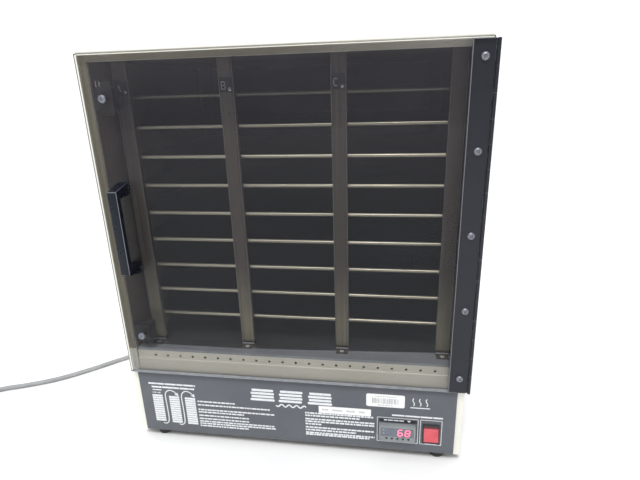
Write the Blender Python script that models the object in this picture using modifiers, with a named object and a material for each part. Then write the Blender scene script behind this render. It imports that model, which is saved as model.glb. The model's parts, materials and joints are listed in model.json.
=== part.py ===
"""Hot towel cabinet: a bench-top warming cabinet with a smoked acrylic door, three columns of
ten shallow compartments, a digital temperature controller and a lit power switch.

Metres, +Z up, front towards -Y. The origin is the middle of the base of the object's box.
"""

import math

import bmesh
import bpy
from mathutils import Matrix, Vector

# ---------------------------------------------------------------- driving dimensions (metres)
CASE_WIDTH = 0.4572
CASE_HEIGHT = 0.520
CASE_DEPTH = 0.343
SHEET = 0.0012            # painted steel of the case
LINER_SHEET = 0.001       # stainless sheet of the chamber
GAP = 0.0003              # clearance between pieces that rest on each other
FOOT_HEIGHT = 0.012
FOOT_RADIUS = 0.0108
FOOT_INSET_X = 0.029
FOOT_INSET_FRONT = 0.015
FOOT_INSET_REAR = 0.022

DOOR_BOTTOM = 0.116
DOOR_HEIGHT = 0.413
DOOR_THICKNESS = 0.006
DOOR_GAP = 0.002          # between the door's back and the case's front
DOOR_LEFT_INSET = 0.0039
DOOR_RIGHT_INSET = 0.0011

HINGE_SHEET = 0.0012
HINGE_BARREL_RADIUS = 0.002
HINGE_PIN_RADIUS = 0.001
HINGE_BORE_RADIUS = 0.00135
HINGE_STRIP_WIDTH = 0.0223
HINGE_SIDE_LEAF = 0.032
HINGE_BOTTOM = DOOR_BOTTOM + 0.0018
HINGE_LENGTH = 0.409
HINGE_KNUCKLES = 16
SCREW_PITCH = 0.0931
SCREW_COUNT = 5
SCREW_LOWEST = DOOR_BOTTOM + 0.022
SCREW_INSET = 0.0098      # from the case's right side

HANDLE_REACH = 0.027
BODY_FORWARD = 0.012          # the origin lies this far in front of the middle of door and case
HANDLE_WIDTH = 0.0118
HANDLE_BAR = 0.007
HANDLE_LEG = 0.016
HANDLE_SLOPE = 0.0066
HANDLE_BOTTOM = DOOR_BOTTOM + 0.1505
HANDLE_LENGTH = 0.118
HANDLE_INSET = 0.0387     # from the case's left side

FLANGE_SIDE = 0.0125
FLANGE_TOP = 0.0115
CHAMBER_HALF = 0.2147     # half of the chamber's clear width
CHAMBER_BACK = 0.322      # behind the door's front
CHAMBER_TOP = DOOR_BOTTOM + 0.408
FLOOR_TOP = DOOR_BOTTOM + 0.028
RAIL_TOP = DOOR_BOTTOM + 0.033
RAIL_STEP = DOOR_BOTTOM + 0.0166
RAIL_RETURN = 0.0113
VENT_COUNT = 22
VENT_PITCH = 0.01812
VENT_RADIUS = 0.0018
VENT_HEIGHT = DOOR_BOTTOM + 0.0220

FASCIA_HEIGHT = 0.102
FASCIA_SHEET = 0.0015
FASCIA_MARGIN = 0.009

RACK_SHIFT = 0.003        # the rack stands a little right of the case's middle
COLUMN_PITCH = 0.132
POST_WIDTH = 0.018
POST_DEPTH = 0.006
POST_FRONT = 0.037        # behind the door's front
SHELF_COUNT = 9
SHELF_PITCH = 0.03665
SHELF_LOWEST = DOOR_BOTTOM + 0.0717
SHELF_HALF = 0.206
SHELF_FRONT = 0.0436
SHELF_BACK = 0.300
SHELF_ROLL = 0.0023
RACK_BASE_FRONT = 0.027
RACK_BASE_TOP = DOOR_BOTTOM + 0.0295

CONTROLLER_SIZE = (0.048, 0.024)
CONTROLLER_REACH = 0.0088
CONTROLLER_CASE = (0.0445, 0.0215, 0.095)
CONTROLLER_CENTRE = (0.1446, DOOR_BOTTOM - 0.070)
KEY_COUNT = 5
KEY_PITCH = 0.0072
KEY_RADIUS = 0.0013
KEY_TRAVEL = 0.0006

SWITCH_BEZEL = (0.022, 0.030)
SWITCH_OPENING = (0.0198, 0.0262)
SWITCH_DEPTH = 0.024
SWITCH_CENTRE = (0.1893, DOOR_BOTTOM - 0.0717)
ROCKER_SIZE = (0.019, 0.024)
ROCKER_TILT = math.radians(8)

FAN_SIZE = 0.092
FAN_HEIGHT = 0.025
FAN_BORE = 0.0435
FAN_BLADES = 7
FAN_DEPTH = 0.225         # its axis, behind the door's front

CORD_DIAMETER = 0.0075
COIL_RADIUS = 0.039       # at the middle of the turns
COIL_LAYERS = 2
COIL_START = (-0.5779, -0.1166)       # where the cord's line touches the coil's outer turn
COIL_ARRIVAL = math.radians(119.5)    # angle of that place round the coil
PLUG_DEPARTURE = math.radians(215)    # angle where the other end leaves the coil
GLAND_X = -0.165
GLAND_Z = 0.048
GLAND_LENGTH = 0.038

# ------------------------------------------------------------------------- derived positions
BODY_DEPTH = DOOR_THICKNESS + DOOR_GAP + CASE_DEPTH
HINGE_OVERHANG = GAP + 2 * HINGE_BARREL_RADIUS
CASE_X = -HINGE_OVERHANG / 2
CASE_LEFT = CASE_X - CASE_WIDTH / 2
CASE_RIGHT = CASE_X + CASE_WIDTH / 2
DOOR_FRONT = BODY_FORWARD - BODY_DEPTH / 2
DOOR_BACK = DOOR_FRONT + DOOR_THICKNESS
CASE_FRONT = DOOR_BACK + DOOR_GAP
CASE_REAR = CASE_FRONT + CASE_DEPTH
CASE_TOP = FOOT_HEIGHT + CASE_HEIGHT
RACK_X = CASE_X + RACK_SHIFT
HINGE_X = CASE_RIGHT + GAP + HINGE_BARREL_RADIUS
HINGE_Y = DOOR_FRONT - GAP - HINGE_BARREL_RADIUS
FASCIA_BACK = CASE_FRONT - GAP
FASCIA_FRONT = FASCIA_BACK - FASCIA_SHEET

PARTS = "hot_towel_cabinet"
CUTTERS = "cutters"


# ----------------------------------------------------------------------------------- helpers
def clear_scene():
    for item in list(bpy.data.objects):
        bpy.data.objects.remove(item, do_unlink=True)
    for name in (PARTS, CUTTERS):
        bpy.context.scene.collection.children.link(bpy.data.collections.new(name))


def material(name, colour, roughness, metallic=0.0, alpha=1.0):
    found = bpy.data.materials.get(name)
    if found:
        return found
    made = bpy.data.materials.new(name)
    made.use_nodes = True
    shader = made.node_tree.nodes["Principled BSDF"]
    shader.inputs["Base Color"].default_value = (*colour, 1)
    shader.inputs["Roughness"].default_value = roughness
    shader.inputs["Metallic"].default_value = metallic
    shader.inputs["Alpha"].default_value = alpha
    return made


def cream_paint():
    return material("cream_paint", (0.72, 0.70, 0.60), 0.45)


def stainless():
    return material("stainless", (0.55, 0.54, 0.51), 0.35, 1.0)


def dark_steel():
    return material("dark_steel", (0.10, 0.10, 0.11), 0.4, 1.0)


def black_paint():
    return material("black_paint", (0.02, 0.02, 0.03), 0.4)


def slate_paint():
    return material("slate_paint", (0.09, 0.10, 0.12), 0.5)


def black_plastic():
    return material("black_plastic", (0.02, 0.02, 0.022), 0.4)


def grey_plastic():
    return material("grey_plastic", (0.07, 0.075, 0.08), 0.5)


def smoked_acrylic():
    return material("smoked_acrylic", (0.10, 0.09, 0.08), 0.05, alpha=0.5)


def red_lens():
    return material("red_lens", (0.75, 0.04, 0.06), 0.3)


def bright_steel():
    return material("bright_steel", (0.75, 0.75, 0.76), 0.2, 1.0)


def rubber():
    return material("black_rubber", (0.02, 0.02, 0.02), 0.8)


def cord_grey():
    return material("cord_grey", (0.28, 0.28, 0.29), 0.6)


def add_object(name, mesh, finish, place=(0, 0, 0)):
    piece = bpy.data.objects.new(name, mesh)
    piece.location = place
    if finish:
        mesh.materials.clear()
        mesh.materials.append(finish)
        bpy.data.collections[PARTS].objects.link(piece)
    else:
        piece.hide_render = True
        piece.display_type = "WIRE"
        bpy.data.collections[CUTTERS].objects.link(piece)
    return piece


def mesh_from(name, shapes):
    """One mesh from functions that each add a closed shape to a bmesh."""
    shape_mesh = bmesh.new()
    for shape in shapes:
        shape(shape_mesh)
    mesh = bpy.data.meshes.new(name)
    shape_mesh.to_mesh(mesh)
    shape_mesh.free()
    return mesh


def box_shape(low, high):
    low, high = Vector(low), Vector(high)
    size = high - low
    place = Matrix.Translation((low + high) / 2) @ Matrix.Diagonal((*size, 1))
    return lambda target: bmesh.ops.create_cube(target, size=1, matrix=place)


def rod_shape(start, end, radius, end_radius=None, segments=16):
    """A cylinder or a cone between two points."""
    start, end = Vector(start), Vector(end)
    turn = (end - start).to_track_quat("Z", "Y").to_matrix().to_4x4()
    place = Matrix.Translation((start + end) / 2) @ turn
    return lambda target: bmesh.ops.create_cone(
        target, cap_ends=True, segments=segments, radius1=radius,
        radius2=radius if end_radius is None else end_radius,
        depth=(end - start).length, matrix=place)


def box(name, low, high, finish, bevel=0.0):
    piece = add_object(name, mesh_from(name, [box_shape(low, high)]), finish)
    if bevel:
        round_edges(piece, bevel)
    return piece


def round_edges(piece, width, segments=2):
    bevel = piece.modifiers.new("round_edges", "BEVEL")
    bevel.width = width
    bevel.segments = segments
    bevel.limit_method = "ANGLE"
    return bevel


def boolean(piece, name, shapes, operation):
    other = add_object(f"{piece.name}_{name}", mesh_from(name, shapes), None)
    step = piece.modifiers.new(name, "BOOLEAN")
    step.object = other
    step.operation = operation
    step.solver = "EXACT"
    return piece


def cut(piece, name, shapes):
    return boolean(piece, name, shapes, "DIFFERENCE")


def join(piece, name, shapes):
    return boolean(piece, name, shapes, "UNION")


def extrusion(name, outline, start_x, end_x, finish, place=(0, 0, 0)):
    """A flat outline of (y, z) points, extruded along X as a filled 2D curve made into a mesh."""
    curve = bpy.data.curves.new(name, "CURVE")
    curve.dimensions = "2D"
    curve.fill_mode = "BOTH"
    curve.extrude = (end_x - start_x) / 2
    spline = curve.splines.new("POLY")
    spline.points.add(len(outline) - 1)
    for point, (y, z) in zip(spline.points, outline):
        point.co = (y, z, 0, 1)
    spline.use_cyclic_u = True
    mesh = mesh_of_curve(curve)
    across = Matrix(((0, 0, 1, (start_x + end_x) / 2), (1, 0, 0, 0), (0, 1, 0, 0), (0, 0, 0, 1)))
    mesh.transform(across)
    return add_object(name, mesh, finish, place)


def mesh_of_curve(curve):
    guide = bpy.data.objects.new("guide", curve)
    bpy.context.scene.collection.objects.link(guide)
    graph = bpy.context.evaluated_depsgraph_get()
    mesh = bpy.data.meshes.new_from_object(guide.evaluated_get(graph))
    bpy.data.objects.remove(guide, do_unlink=True)
    weld = bmesh.new()
    weld.from_mesh(mesh)
    bmesh.ops.remove_doubles(weld, verts=weld.verts, dist=1e-6)
    bmesh.ops.recalc_face_normals(weld, faces=weld.faces)
    weld.to_mesh(mesh)
    weld.free()
    return mesh


def turned(name, profile, finish, place, axis="Z", steps=24):
    """A profile of (radius, height) points, from bottom to top on the axis, turned by Screw."""
    outline = bmesh.new()
    verts = [outline.verts.new((radius, 0, height)) for radius, height in reversed(profile)]
    for first, second in zip(verts, verts[1:]):
        outline.edges.new((first, second))
    mesh = bpy.data.meshes.new(name)
    outline.to_mesh(mesh)
    outline.free()
    piece = add_object(name, mesh, finish, place)
    if axis == "Y":
        piece.rotation_euler = (math.radians(-90), 0, 0)
    screw = piece.modifiers.new("turn", "SCREW")
    screw.steps = steps
    screw.render_steps = steps
    screw.use_merge_vertices = True
    screw.merge_threshold = 0.00001
    return piece


def tube(name, points, radius, finish, resolution=2):
    curve = bpy.data.curves.new(name, "CURVE")
    curve.dimensions = "3D"
    curve.bevel_depth = radius
    curve.bevel_resolution = resolution
    curve.use_fill_caps = True
    spline = curve.splines.new("POLY")
    spline.points.add(len(points) - 1)
    for point, place in zip(spline.points, points):
        point.co = (*place, 1)
    piece = bpy.data.objects.new(name, curve)
    curve.materials.append(finish)
    bpy.data.collections[PARTS].objects.link(piece)
    return piece


def arc(centre, radius, start, end, steps):
    """Points on an arc in (y, z), angles in degrees."""
    angles = [math.radians(start + (end - start) * i / steps) for i in range(steps + 1)]
    return [(centre[0] + radius * math.cos(a), centre[1] + radius * math.sin(a)) for a in angles]


def smooth_route(knots, spacing):
    """A Catmull-Rom curve through the knots, read at even spacing."""
    knots = [Vector(knot) for knot in knots]
    padded = [2 * knots[0] - knots[1], *knots, 2 * knots[-1] - knots[-2]]
    fine = []
    for a, b, c, d in zip(padded, padded[1:], padded[2:], padded[3:]):
        for i in range(24):
            t = i / 24
            fine.append(0.5 * (2 * b + (c - a) * t + (2 * a - 5 * b + 4 * c - d) * t ** 2
                               + (3 * b - a - 3 * c + d) * t ** 3))
    fine.append(knots[-1])
    total = sum((q - p).length for p, q in zip(fine, fine[1:]))
    count = round(total / spacing)
    route, walked, target = [fine[0]], 0.0, total / count
    for p, q in zip(fine, fine[1:]):
        step = (q - p).length
        while walked + step >= target * len(route) and len(route) < count:
            route.append(p.lerp(q, (target * len(route) - walked) / step))
        walked += step
    route.append(fine[-1])
    return [Vector((point.x, point.y, max(point.z, CORD_LOW))) for point in route]


# -------------------------------------------------------------------------------------- case
def build_outer_shell():
    """Top, sides and the folded front flange, open behind, below and in front."""
    low = (CASE_LEFT, CASE_FRONT, FOOT_HEIGHT)
    high = (CASE_RIGHT, CASE_REAR, CASE_TOP)
    shell = box("outer_shell", low, high, cream_paint())
    beyond = 0.02
    cut(shell, "hollow", [box_shape(
        (CASE_LEFT + SHEET, CASE_FRONT + SHEET, FOOT_HEIGHT - beyond),
        (CASE_RIGHT - SHEET, CASE_REAR + beyond, CASE_TOP - SHEET))])
    cut(shell, "front_opening", [box_shape(
        (CASE_LEFT + FLANGE_SIDE, CASE_FRONT - beyond, FOOT_HEIGHT - beyond),
        (CASE_RIGHT - FLANGE_SIDE, CASE_FRONT + beyond, CASE_TOP - FLANGE_TOP))])


def build_front_rail():
    """The folded rail under the opening, with a row of vent holes."""
    face = CASE_FRONT + SHEET + GAP
    back = face + 2 * SHEET
    bottom = DOOR_BOTTOM - 0.008
    outline = [
        (face, bottom), (face, RAIL_STEP), (face + SHEET, RAIL_STEP + SHEET),
        (face + SHEET, RAIL_TOP), (face + SHEET + RAIL_RETURN, RAIL_TOP),
        (face + SHEET + RAIL_RETURN, RAIL_TOP - SHEET), (back, RAIL_TOP - SHEET),
        (back, RAIL_STEP + SHEET / 2), (face + SHEET, RAIL_STEP - SHEET / 2),
        (face + SHEET, bottom),
    ]
    half = CASE_WIDTH / 2 - SHEET - 0.001
    rail = extrusion("front_rail", outline, CASE_X - half, CASE_X + half, cream_paint())
    first = CASE_X - VENT_PITCH * (VENT_COUNT - 1) / 2
    vents = [rod_shape((first + i * VENT_PITCH, face - 0.01, VENT_HEIGHT),
                       (first + i * VENT_PITCH, back + 0.01, VENT_HEIGHT), VENT_RADIUS, segments=10)
             for i in range(VENT_COUNT)]
    cut(rail, "vents", vents)


def build_fascia():
    """The flat control plate in front of the lower bay, with its two cut-outs."""
    top = DOOR_BOTTOM - 0.0005
    plate = box("fascia_panel", (CASE_LEFT + FASCIA_MARGIN, FASCIA_FRONT, top - FASCIA_HEIGHT),
                (CASE_RIGHT - FASCIA_MARGIN, FASCIA_BACK, top), slate_paint())
    clearance = 0.0006
    cutouts = []
    for centre, width, height in (
            (CONTROLLER_CENTRE, CONTROLLER_CASE[0], CONTROLLER_CASE[1]),
            (SWITCH_CENTRE, SWITCH_OPENING[0] + 0.001, SWITCH_OPENING[1] + 0.001)):
        half_x, half_z = width / 2 + clearance, height / 2 + clearance
        x, z = CASE_X + centre[0], centre[1]
        cutouts.append(box_shape((x - half_x, FASCIA_FRONT - 0.01, z - half_z),
                                 (x + half_x, FASCIA_BACK + 0.01, z + half_z)))
    cut(plate, "cutouts", cutouts)


def slots(centres, size, depth_low, depth_high):
    """Upright-plane slots at (x, z) centres, cut along Y."""
    half_x, half_z = size[0] / 2, size[1] / 2
    return [box_shape((x - half_x, depth_low, z - half_z), (x + half_x, depth_high, z + half_z))
            for x, z in centres]


def build_back_panel():
    """The flat rear cover: two fields of vent slots and the cord's hole."""
    front = CASE_REAR - 0.0005 - SHEET
    half = CASE_WIDTH / 2 - SHEET - GAP
    panel = box("back_panel", (CASE_X - half, front, FOOT_HEIGHT + GAP),
                (CASE_X + half, front + SHEET, CASE_TOP - SHEET - GAP), cream_paint())
    slot_size = (0.004, 0.030)
    centres = [(CASE_X + side * (0.030 + 0.011 * i), height)
               for height in (0.065, 0.470) for side in (-1, 1) for i in range(8)]
    cutters = slots(centres, slot_size, front - 0.01, front + 0.01)
    cutters.append(rod_shape((GLAND_X, front - 0.01, GLAND_Z), (GLAND_X, front + 0.01, GLAND_Z),
                             0.0094, segments=20))
    cut(panel, "vents", cutters)


def build_base_pan():
    """The bottom tray, with its upturned edges and cooling slots."""
    half = CASE_WIDTH / 2 - SHEET - GAP
    front, rear = CASE_FRONT + SHEET + GAP, CASE_REAR - 0.0023
    edge = 0.014
    pan = box("base_pan", (CASE_X - half, front, FOOT_HEIGHT),
              (CASE_X + half, rear, FOOT_HEIGHT + edge), stainless())
    cut(pan, "tray", [box_shape(
        (CASE_X - half + SHEET, front + SHEET, FOOT_HEIGHT + SHEET),
        (CASE_X + half - SHEET, rear - SHEET, FOOT_HEIGHT + 0.05))])
    cooling = []
    for row in (-1, 1):
        for i in range(7):
            x = CASE_X + row * (0.060 + 0.016 * i)
            cooling.append(box_shape((x - 0.002, -0.020, FOOT_HEIGHT - 0.01),
                                     (x + 0.002, 0.040, FOOT_HEIGHT + 0.01)))
    cut(pan, "cooling", cooling)


def build_feet():
    profile = [(0, 0), (FOOT_RADIUS - 0.0018, 0), (FOOT_RADIUS - 0.0004, 0.0014),
               (FOOT_RADIUS + 0.0005, FOOT_HEIGHT - GAP), (0, FOOT_HEIGHT - GAP)]
    places = {"front_left": (-1, CASE_FRONT + FOOT_INSET_FRONT),
              "front_right": (1, CASE_FRONT + FOOT_INSET_FRONT),
              "rear_left": (-1, CASE_REAR - FOOT_INSET_REAR),
              "rear_right": (1, CASE_REAR - FOOT_INSET_REAR)}
    for name, (side, y) in places.items():
        x = CASE_X + side * (CASE_WIDTH / 2 - FOOT_INSET_X)
        turned(f"foot_{name}", profile, rubber(), (x, y, 0), steps=20)


# ----------------------------------------------------------------------------------- chamber
def build_floor_pan():
    """The chamber's floor: a tray with upturned sides and a slotted grille above the fan."""
    half = CHAMBER_HALF - GAP
    front = DOOR_FRONT + 0.0125
    rear = DOOR_FRONT + CHAMBER_BACK - GAP
    edge = 0.014
    pan = box("floor_pan", (CASE_X - half, front, FLOOR_TOP - SHEET),
              (CASE_X + half, rear, FLOOR_TOP + edge), stainless())
    beyond = 0.05
    cut(pan, "tray", [box_shape((CASE_X - half + LINER_SHEET, front - beyond, FLOOR_TOP),
                                (CASE_X + half - LINER_SHEET, rear - LINER_SHEET, FLOOR_TOP + beyond))])
    cut(pan, "front_corners", [box_shape(
        (CASE_LEFT - beyond, front - beyond, FLOOR_TOP),
        (CASE_RIGHT + beyond, DOOR_FRONT + 0.0245, FLOOR_TOP + beyond))])
    grille = []
    radius, pitch, width = 0.038, 0.0095, 0.005
    centre_y = DOOR_FRONT + FAN_DEPTH
    for i in range(-3, 4):
        reach = math.sqrt(radius ** 2 - (i * pitch) ** 2)
        y = centre_y + i * pitch
        grille.append(box_shape((CASE_X - reach, y - width / 2, FLOOR_TOP - 0.01),
                                (CASE_X + reach, y + width / 2, FLOOR_TOP + 0.01)))
    cut(pan, "fan_grille", grille)


def build_liner():
    """The chamber's sides and back in one folded sheet, and its ceiling."""
    outer = CHAMBER_HALF + LINER_SHEET
    front = CASE_FRONT + SHEET + GAP
    rear = DOOR_FRONT + CHAMBER_BACK + LINER_SHEET
    low, high = RAIL_TOP + GAP, CHAMBER_TOP - GAP
    liner = box("liner_wrap", (CASE_X - outer, front, low), (CASE_X + outer, rear, high), stainless())
    beyond = 0.05
    cut(liner, "chamber", [box_shape((CASE_X - CHAMBER_HALF, front - beyond, low - beyond),
                                     (CASE_X + CHAMBER_HALF, rear - LINER_SHEET, high + beyond))])
    centres = [(CASE_X + 0.026 * i, z) for z in (0.190, 0.490) for i in range(-4, 5)]
    cutters = slots(centres, (0.018, 0.005), rear - 0.01, rear + 0.01)
    cutters.append(rod_shape((PROBE_X, rear - 0.01, PROBE_Z), (PROBE_X, rear + 0.01, PROBE_Z),
                             0.0034, segments=12))
    cut(liner, "air_slots", cutters)
    half = CASE_WIDTH / 2 - SHEET - 0.001
    box("liner_top", (CASE_X - half, front, CHAMBER_TOP),
        (CASE_X + half, rear, CHAMBER_TOP + LINER_SHEET), stainless())


PROBE_X = CASE_X + 0.069
PROBE_Z = DOOR_BOTTOM + 0.394


def build_probe():
    """The temperature sensor: a closed tube with a collar, through the chamber's back."""
    back = DOOR_FRONT + CHAMBER_BACK
    probe = add_object("temperature_probe", mesh_from("probe", [
        rod_shape((PROBE_X, back - 0.055, PROBE_Z), (PROBE_X, back + 0.012, PROBE_Z), 0.0024,
                  segments=12)]), bright_steel())
    join(probe, "collar", [rod_shape((PROBE_X, back - 0.0045, PROBE_Z),
                                     (PROBE_X, back - GAP, PROBE_Z), 0.005, segments=12)])


def shelf_heights():
    return [SHELF_LOWEST + i * SHELF_PITCH for i in range(SHELF_COUNT)]


def build_rack_base():
    box("rack_base", (RACK_X - SHELF_HALF, DOOR_FRONT + RACK_BASE_FRONT, FLOOR_TOP + GAP),
        (RACK_X + SHELF_HALF, DOOR_FRONT + SHELF_BACK, RACK_BASE_TOP), dark_steel())


def build_shelves():
    """Sheet shelves whose front edge is rolled under into a bright lip."""
    front = DOOR_FRONT + SHELF_FRONT
    rear = DOOR_FRONT + SHELF_BACK
    for i, height in enumerate(shelf_heights()):
        centre = (front + SHELF_ROLL, height)
        underside = height + SHELF_ROLL - LINER_SHEET
        start = math.degrees(math.asin((SHELF_ROLL - LINER_SHEET) / SHELF_ROLL))
        roll = arc(centre, SHELF_ROLL, 90, 360 + start, 12)
        outline = [(rear, height + SHELF_ROLL), *roll, (rear, underside)]
        extrusion(f"shelf_{i + 1}", outline, RACK_X - SHELF_HALF, RACK_X + SHELF_HALF, stainless())


def build_posts():
    """Shallow upright channels with a foot in front and a tab under each shelf's lip."""
    front = DOOR_FRONT + POST_FRONT
    rear = front + POST_DEPTH
    low, high = RACK_BASE_TOP + GAP, CHAMBER_TOP - GAP
    names = ("post_a", "post_b", "post_c", "post_right")
    for column, name in zip((-1.5, -0.5, 0.5, 1.5), names):
        x = RACK_X + column * COLUMN_PITCH
        half = POST_WIDTH / 2
        post = box(name, (x - half, front, low), (x + half, rear, high), stainless())
        cut(post, "channel", [box_shape((x - half + SHEET, front + SHEET, low - 0.01),
                                        (x + half - SHEET, rear + 0.01, high + 0.01))])
        foot = box_shape((x - half + 0.001, front - 0.0098, low), (x + half - 0.001, front + SHEET, low + SHEET))
        tab_reach = DOOR_FRONT + SHELF_FRONT + 2 * SHELF_ROLL
        tabs = [box_shape((x - 0.005, front + SHEET / 2, z - SHELF_ROLL - GAP - SHEET),
                          (x + 0.005, tab_reach, z - SHELF_ROLL - GAP)) for z in shelf_heights()]
        join(post, "foot_and_tabs", [foot, *tabs])


def build_rear_rails():
    """The two rear uprights, with a ledge under each shelf."""
    front = DOOR_FRONT + SHELF_BACK + GAP
    low, high = FLOOR_TOP + GAP, CHAMBER_TOP - GAP
    for name, side in (("rear_rail_left", -1), ("rear_rail_right", 1)):
        x = RACK_X + side * (SHELF_HALF - 0.012)
        rail = box(name, (x - 0.010, front, low), (x + 0.010, front + 0.0015, high), stainless())
        ledges = [box_shape((x - 0.008, front - 0.014, z + SHELF_ROLL - LINER_SHEET - GAP - SHEET),
                            (x + 0.008, front + 0.0008, z + SHELF_ROLL - LINER_SHEET - GAP))
                  for z in shelf_heights()]
        join(rail, "ledges", ledges)


# -------------------------------------------------------------------------------------- door
def screw_heights():
    return [SCREW_LOWEST + i * SCREW_PITCH for i in range(SCREW_COUNT)]


SCREW_X = CASE_RIGHT - SCREW_INSET
STRIKES = {"top": (CASE_LEFT + 0.0306, DOOR_BOTTOM + 0.3643, 0.0085, 0.019),
           "bottom": (CASE_LEFT + 0.0296, DOOR_BOTTOM + 0.0581, 0.008, 0.012)}
HANDLE_X = CASE_LEFT + HANDLE_INSET
HANDLE_BOLTS = [HANDLE_BOTTOM + HANDLE_LEG / 2, HANDLE_BOTTOM + HANDLE_LENGTH - HANDLE_LEG / 2]


def build_door_panel():
    """The flat smoked sheet, drilled for the hinge, the handle and the strikes."""
    panel = box("door_panel",
                (CASE_LEFT + DOOR_LEFT_INSET, DOOR_FRONT, DOOR_BOTTOM),
                (CASE_RIGHT - DOOR_RIGHT_INSET, DOOR_BACK, DOOR_BOTTOM + DOOR_HEIGHT),
                smoked_acrylic(), bevel=0.0004)
    drilled = [(SCREW_X, z, 0.0027) for z in screw_heights()]
    drilled += [(x, z, 0.0027) for x, z, _, _ in STRIKES.values()]
    drilled += [(HANDLE_X, z, 0.0023) for z in HANDLE_BOLTS]
    cut(panel, "holes", [rod_shape((x, DOOR_FRONT - 0.01, z), (x, DOOR_BACK + 0.01, z), radius,
                                   segments=12) for x, z, radius in drilled])


def knuckle_spans(parity):
    """The lengths of barrel that belong to one leaf of the hinge."""
    pitch = HINGE_LENGTH / HINGE_KNUCKLES
    for i in range(parity, HINGE_KNUCKLES, 2):
        start = HINGE_BOTTOM + i * pitch
        yield start + GAP / 2, start + pitch - GAP / 2


def build_hinge():
    """A continuous hinge: a strip over the door's front edge and a leaf on the case's side."""
    top = HINGE_BOTTOM + HINGE_LENGTH
    axis_bore = [rod_shape((HINGE_X, HINGE_Y, HINGE_BOTTOM - 0.01), (HINGE_X, HINGE_Y, top + 0.01),
                           HINGE_BORE_RADIUS, segments=14)]
    strip_back = DOOR_FRONT - GAP
    strip_front = strip_back - HINGE_SHEET
    strip_left = CASE_RIGHT - HINGE_STRIP_WIDTH
    door_leaf = box("hinge_door_leaf", (strip_left, strip_front, HINGE_BOTTOM),
                    (CASE_RIGHT, strip_back, top), black_paint())
    join(door_leaf, "barrels", [rod_shape((HINGE_X, HINGE_Y, low), (HINGE_X, HINGE_Y, high),
                                          HINGE_BARREL_RADIUS, segments=14)
                                for low, high in knuckle_spans(0)])
    join(door_leaf, "straps", [box_shape((CASE_RIGHT - 0.001, strip_front, low),
                                         (HINGE_X, strip_back, high))
                               for low, high in knuckle_spans(0)])
    cut(door_leaf, "bore", axis_bore)
    cut(door_leaf, "screw_holes", [rod_shape((SCREW_X, strip_front - 0.01, z),
                                             (SCREW_X, strip_back + 0.01, z), 0.0025, segments=12)
                                   for z in screw_heights()])
    leaf_front = DOOR_FRONT
    side_low, side_high = CASE_RIGHT + GAP, CASE_RIGHT + GAP + HINGE_SHEET
    body_leaf = box("hinge_body_leaf", (side_low, leaf_front, HINGE_BOTTOM),
                    (side_high, leaf_front + HINGE_SIDE_LEAF, top), black_paint())
    join(body_leaf, "barrels", [rod_shape((HINGE_X, HINGE_Y, low), (HINGE_X, HINGE_Y, high),
                                          HINGE_BARREL_RADIUS, segments=14)
                                for low, high in knuckle_spans(1)])
    join(body_leaf, "straps", [box_shape((side_low, HINGE_Y, low),
                                         (side_high, leaf_front + 0.001, high))
                               for low, high in knuckle_spans(1)])
    cut(body_leaf, "bore", axis_bore)
    pin = add_object("hinge_pin", mesh_from("pin", [
        rod_shape((HINGE_X, HINGE_Y, HINGE_BOTTOM - 0.0002), (HINGE_X, HINGE_Y, top + 0.0002),
                  HINGE_PIN_RADIUS, segments=14)]), bright_steel())
    return door_leaf, body_leaf, pin


def build_hinge_screws():
    """Button-head socket screws with thin nuts behind the door."""
    head_back = DOOR_FRONT - 2 * GAP - HINGE_SHEET
    head_front = head_back - 0.0024
    for i, z in enumerate(screw_heights()):
        screw = add_object(f"hinge_screw_{i + 1}", mesh_from("screw", [
            rod_shape((SCREW_X, head_back, z), (SCREW_X, head_front, z), 0.0042, 0.0026, 16)]),
            black_paint())
        join(screw, "shank", [rod_shape((SCREW_X, head_back - 0.0006, z),
                                        (SCREW_X, DOOR_BACK + 0.0012, z), 0.0019, segments=12)])
        join(screw, "nut", [rod_shape((SCREW_X, DOOR_BACK + GAP, z),
                                      (SCREW_X, DOOR_BACK + 0.0016, z), 0.0042, segments=6)])
        cut(screw, "socket", [rod_shape((SCREW_X, head_front - 0.001, z),
                                        (SCREW_X, head_front + 0.0013, z), 0.0014, segments=6)])


def build_handle():
    """A bow handle whose legs widen towards the door, where it's bolted through."""
    front = DOOR_FRONT - HANDLE_REACH
    back = DOOR_FRONT - GAP
    low, high = HANDLE_BOTTOM, HANDLE_BOTTOM + HANDLE_LENGTH
    slope = HANDLE_SLOPE
    outline = [
        (back, low), (back, low + HANDLE_LEG), (front + HANDLE_BAR, low + HANDLE_LEG),
        (front + HANDLE_BAR, high - HANDLE_LEG), (back, high - HANDLE_LEG), (back, high),
        (front + 0.001, high - slope), (front, high - slope - 0.001),
        (front, low + slope + 0.001), (front + 0.001, low + slope),
    ]
    half = HANDLE_WIDTH / 2
    handle = extrusion("handle", outline, HANDLE_X - half, HANDLE_X + half, black_plastic())
    round_edges(handle, 0.0008)


def build_strikes():
    """Each strike: a steel plate behind the door, held by a domed screw through it."""
    for name, (x, z, half_x, half_z) in STRIKES.items():
        strike = box(f"door_strike_{name}", (x - half_x, DOOR_BACK + GAP, z - half_z),
                     (x + half_x, DOOR_BACK + 0.0014, z + half_z), bright_steel())
        join(strike, "shank", [rod_shape((x, DOOR_FRONT - 0.001, z), (x, DOOR_BACK + 0.001, z),
                                         0.002, segments=12)])
        join(strike, "dome", [rod_shape((x, DOOR_FRONT - GAP, z), (x, DOOR_FRONT - 0.0018, z),
                                        0.0046, 0.0040, 16)])
        join(strike, "crown", [rod_shape((x, DOOR_FRONT - 0.0012, z), (x, DOOR_FRONT - 0.0028, z),
                                         0.0038, 0.0022, 16)])


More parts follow.
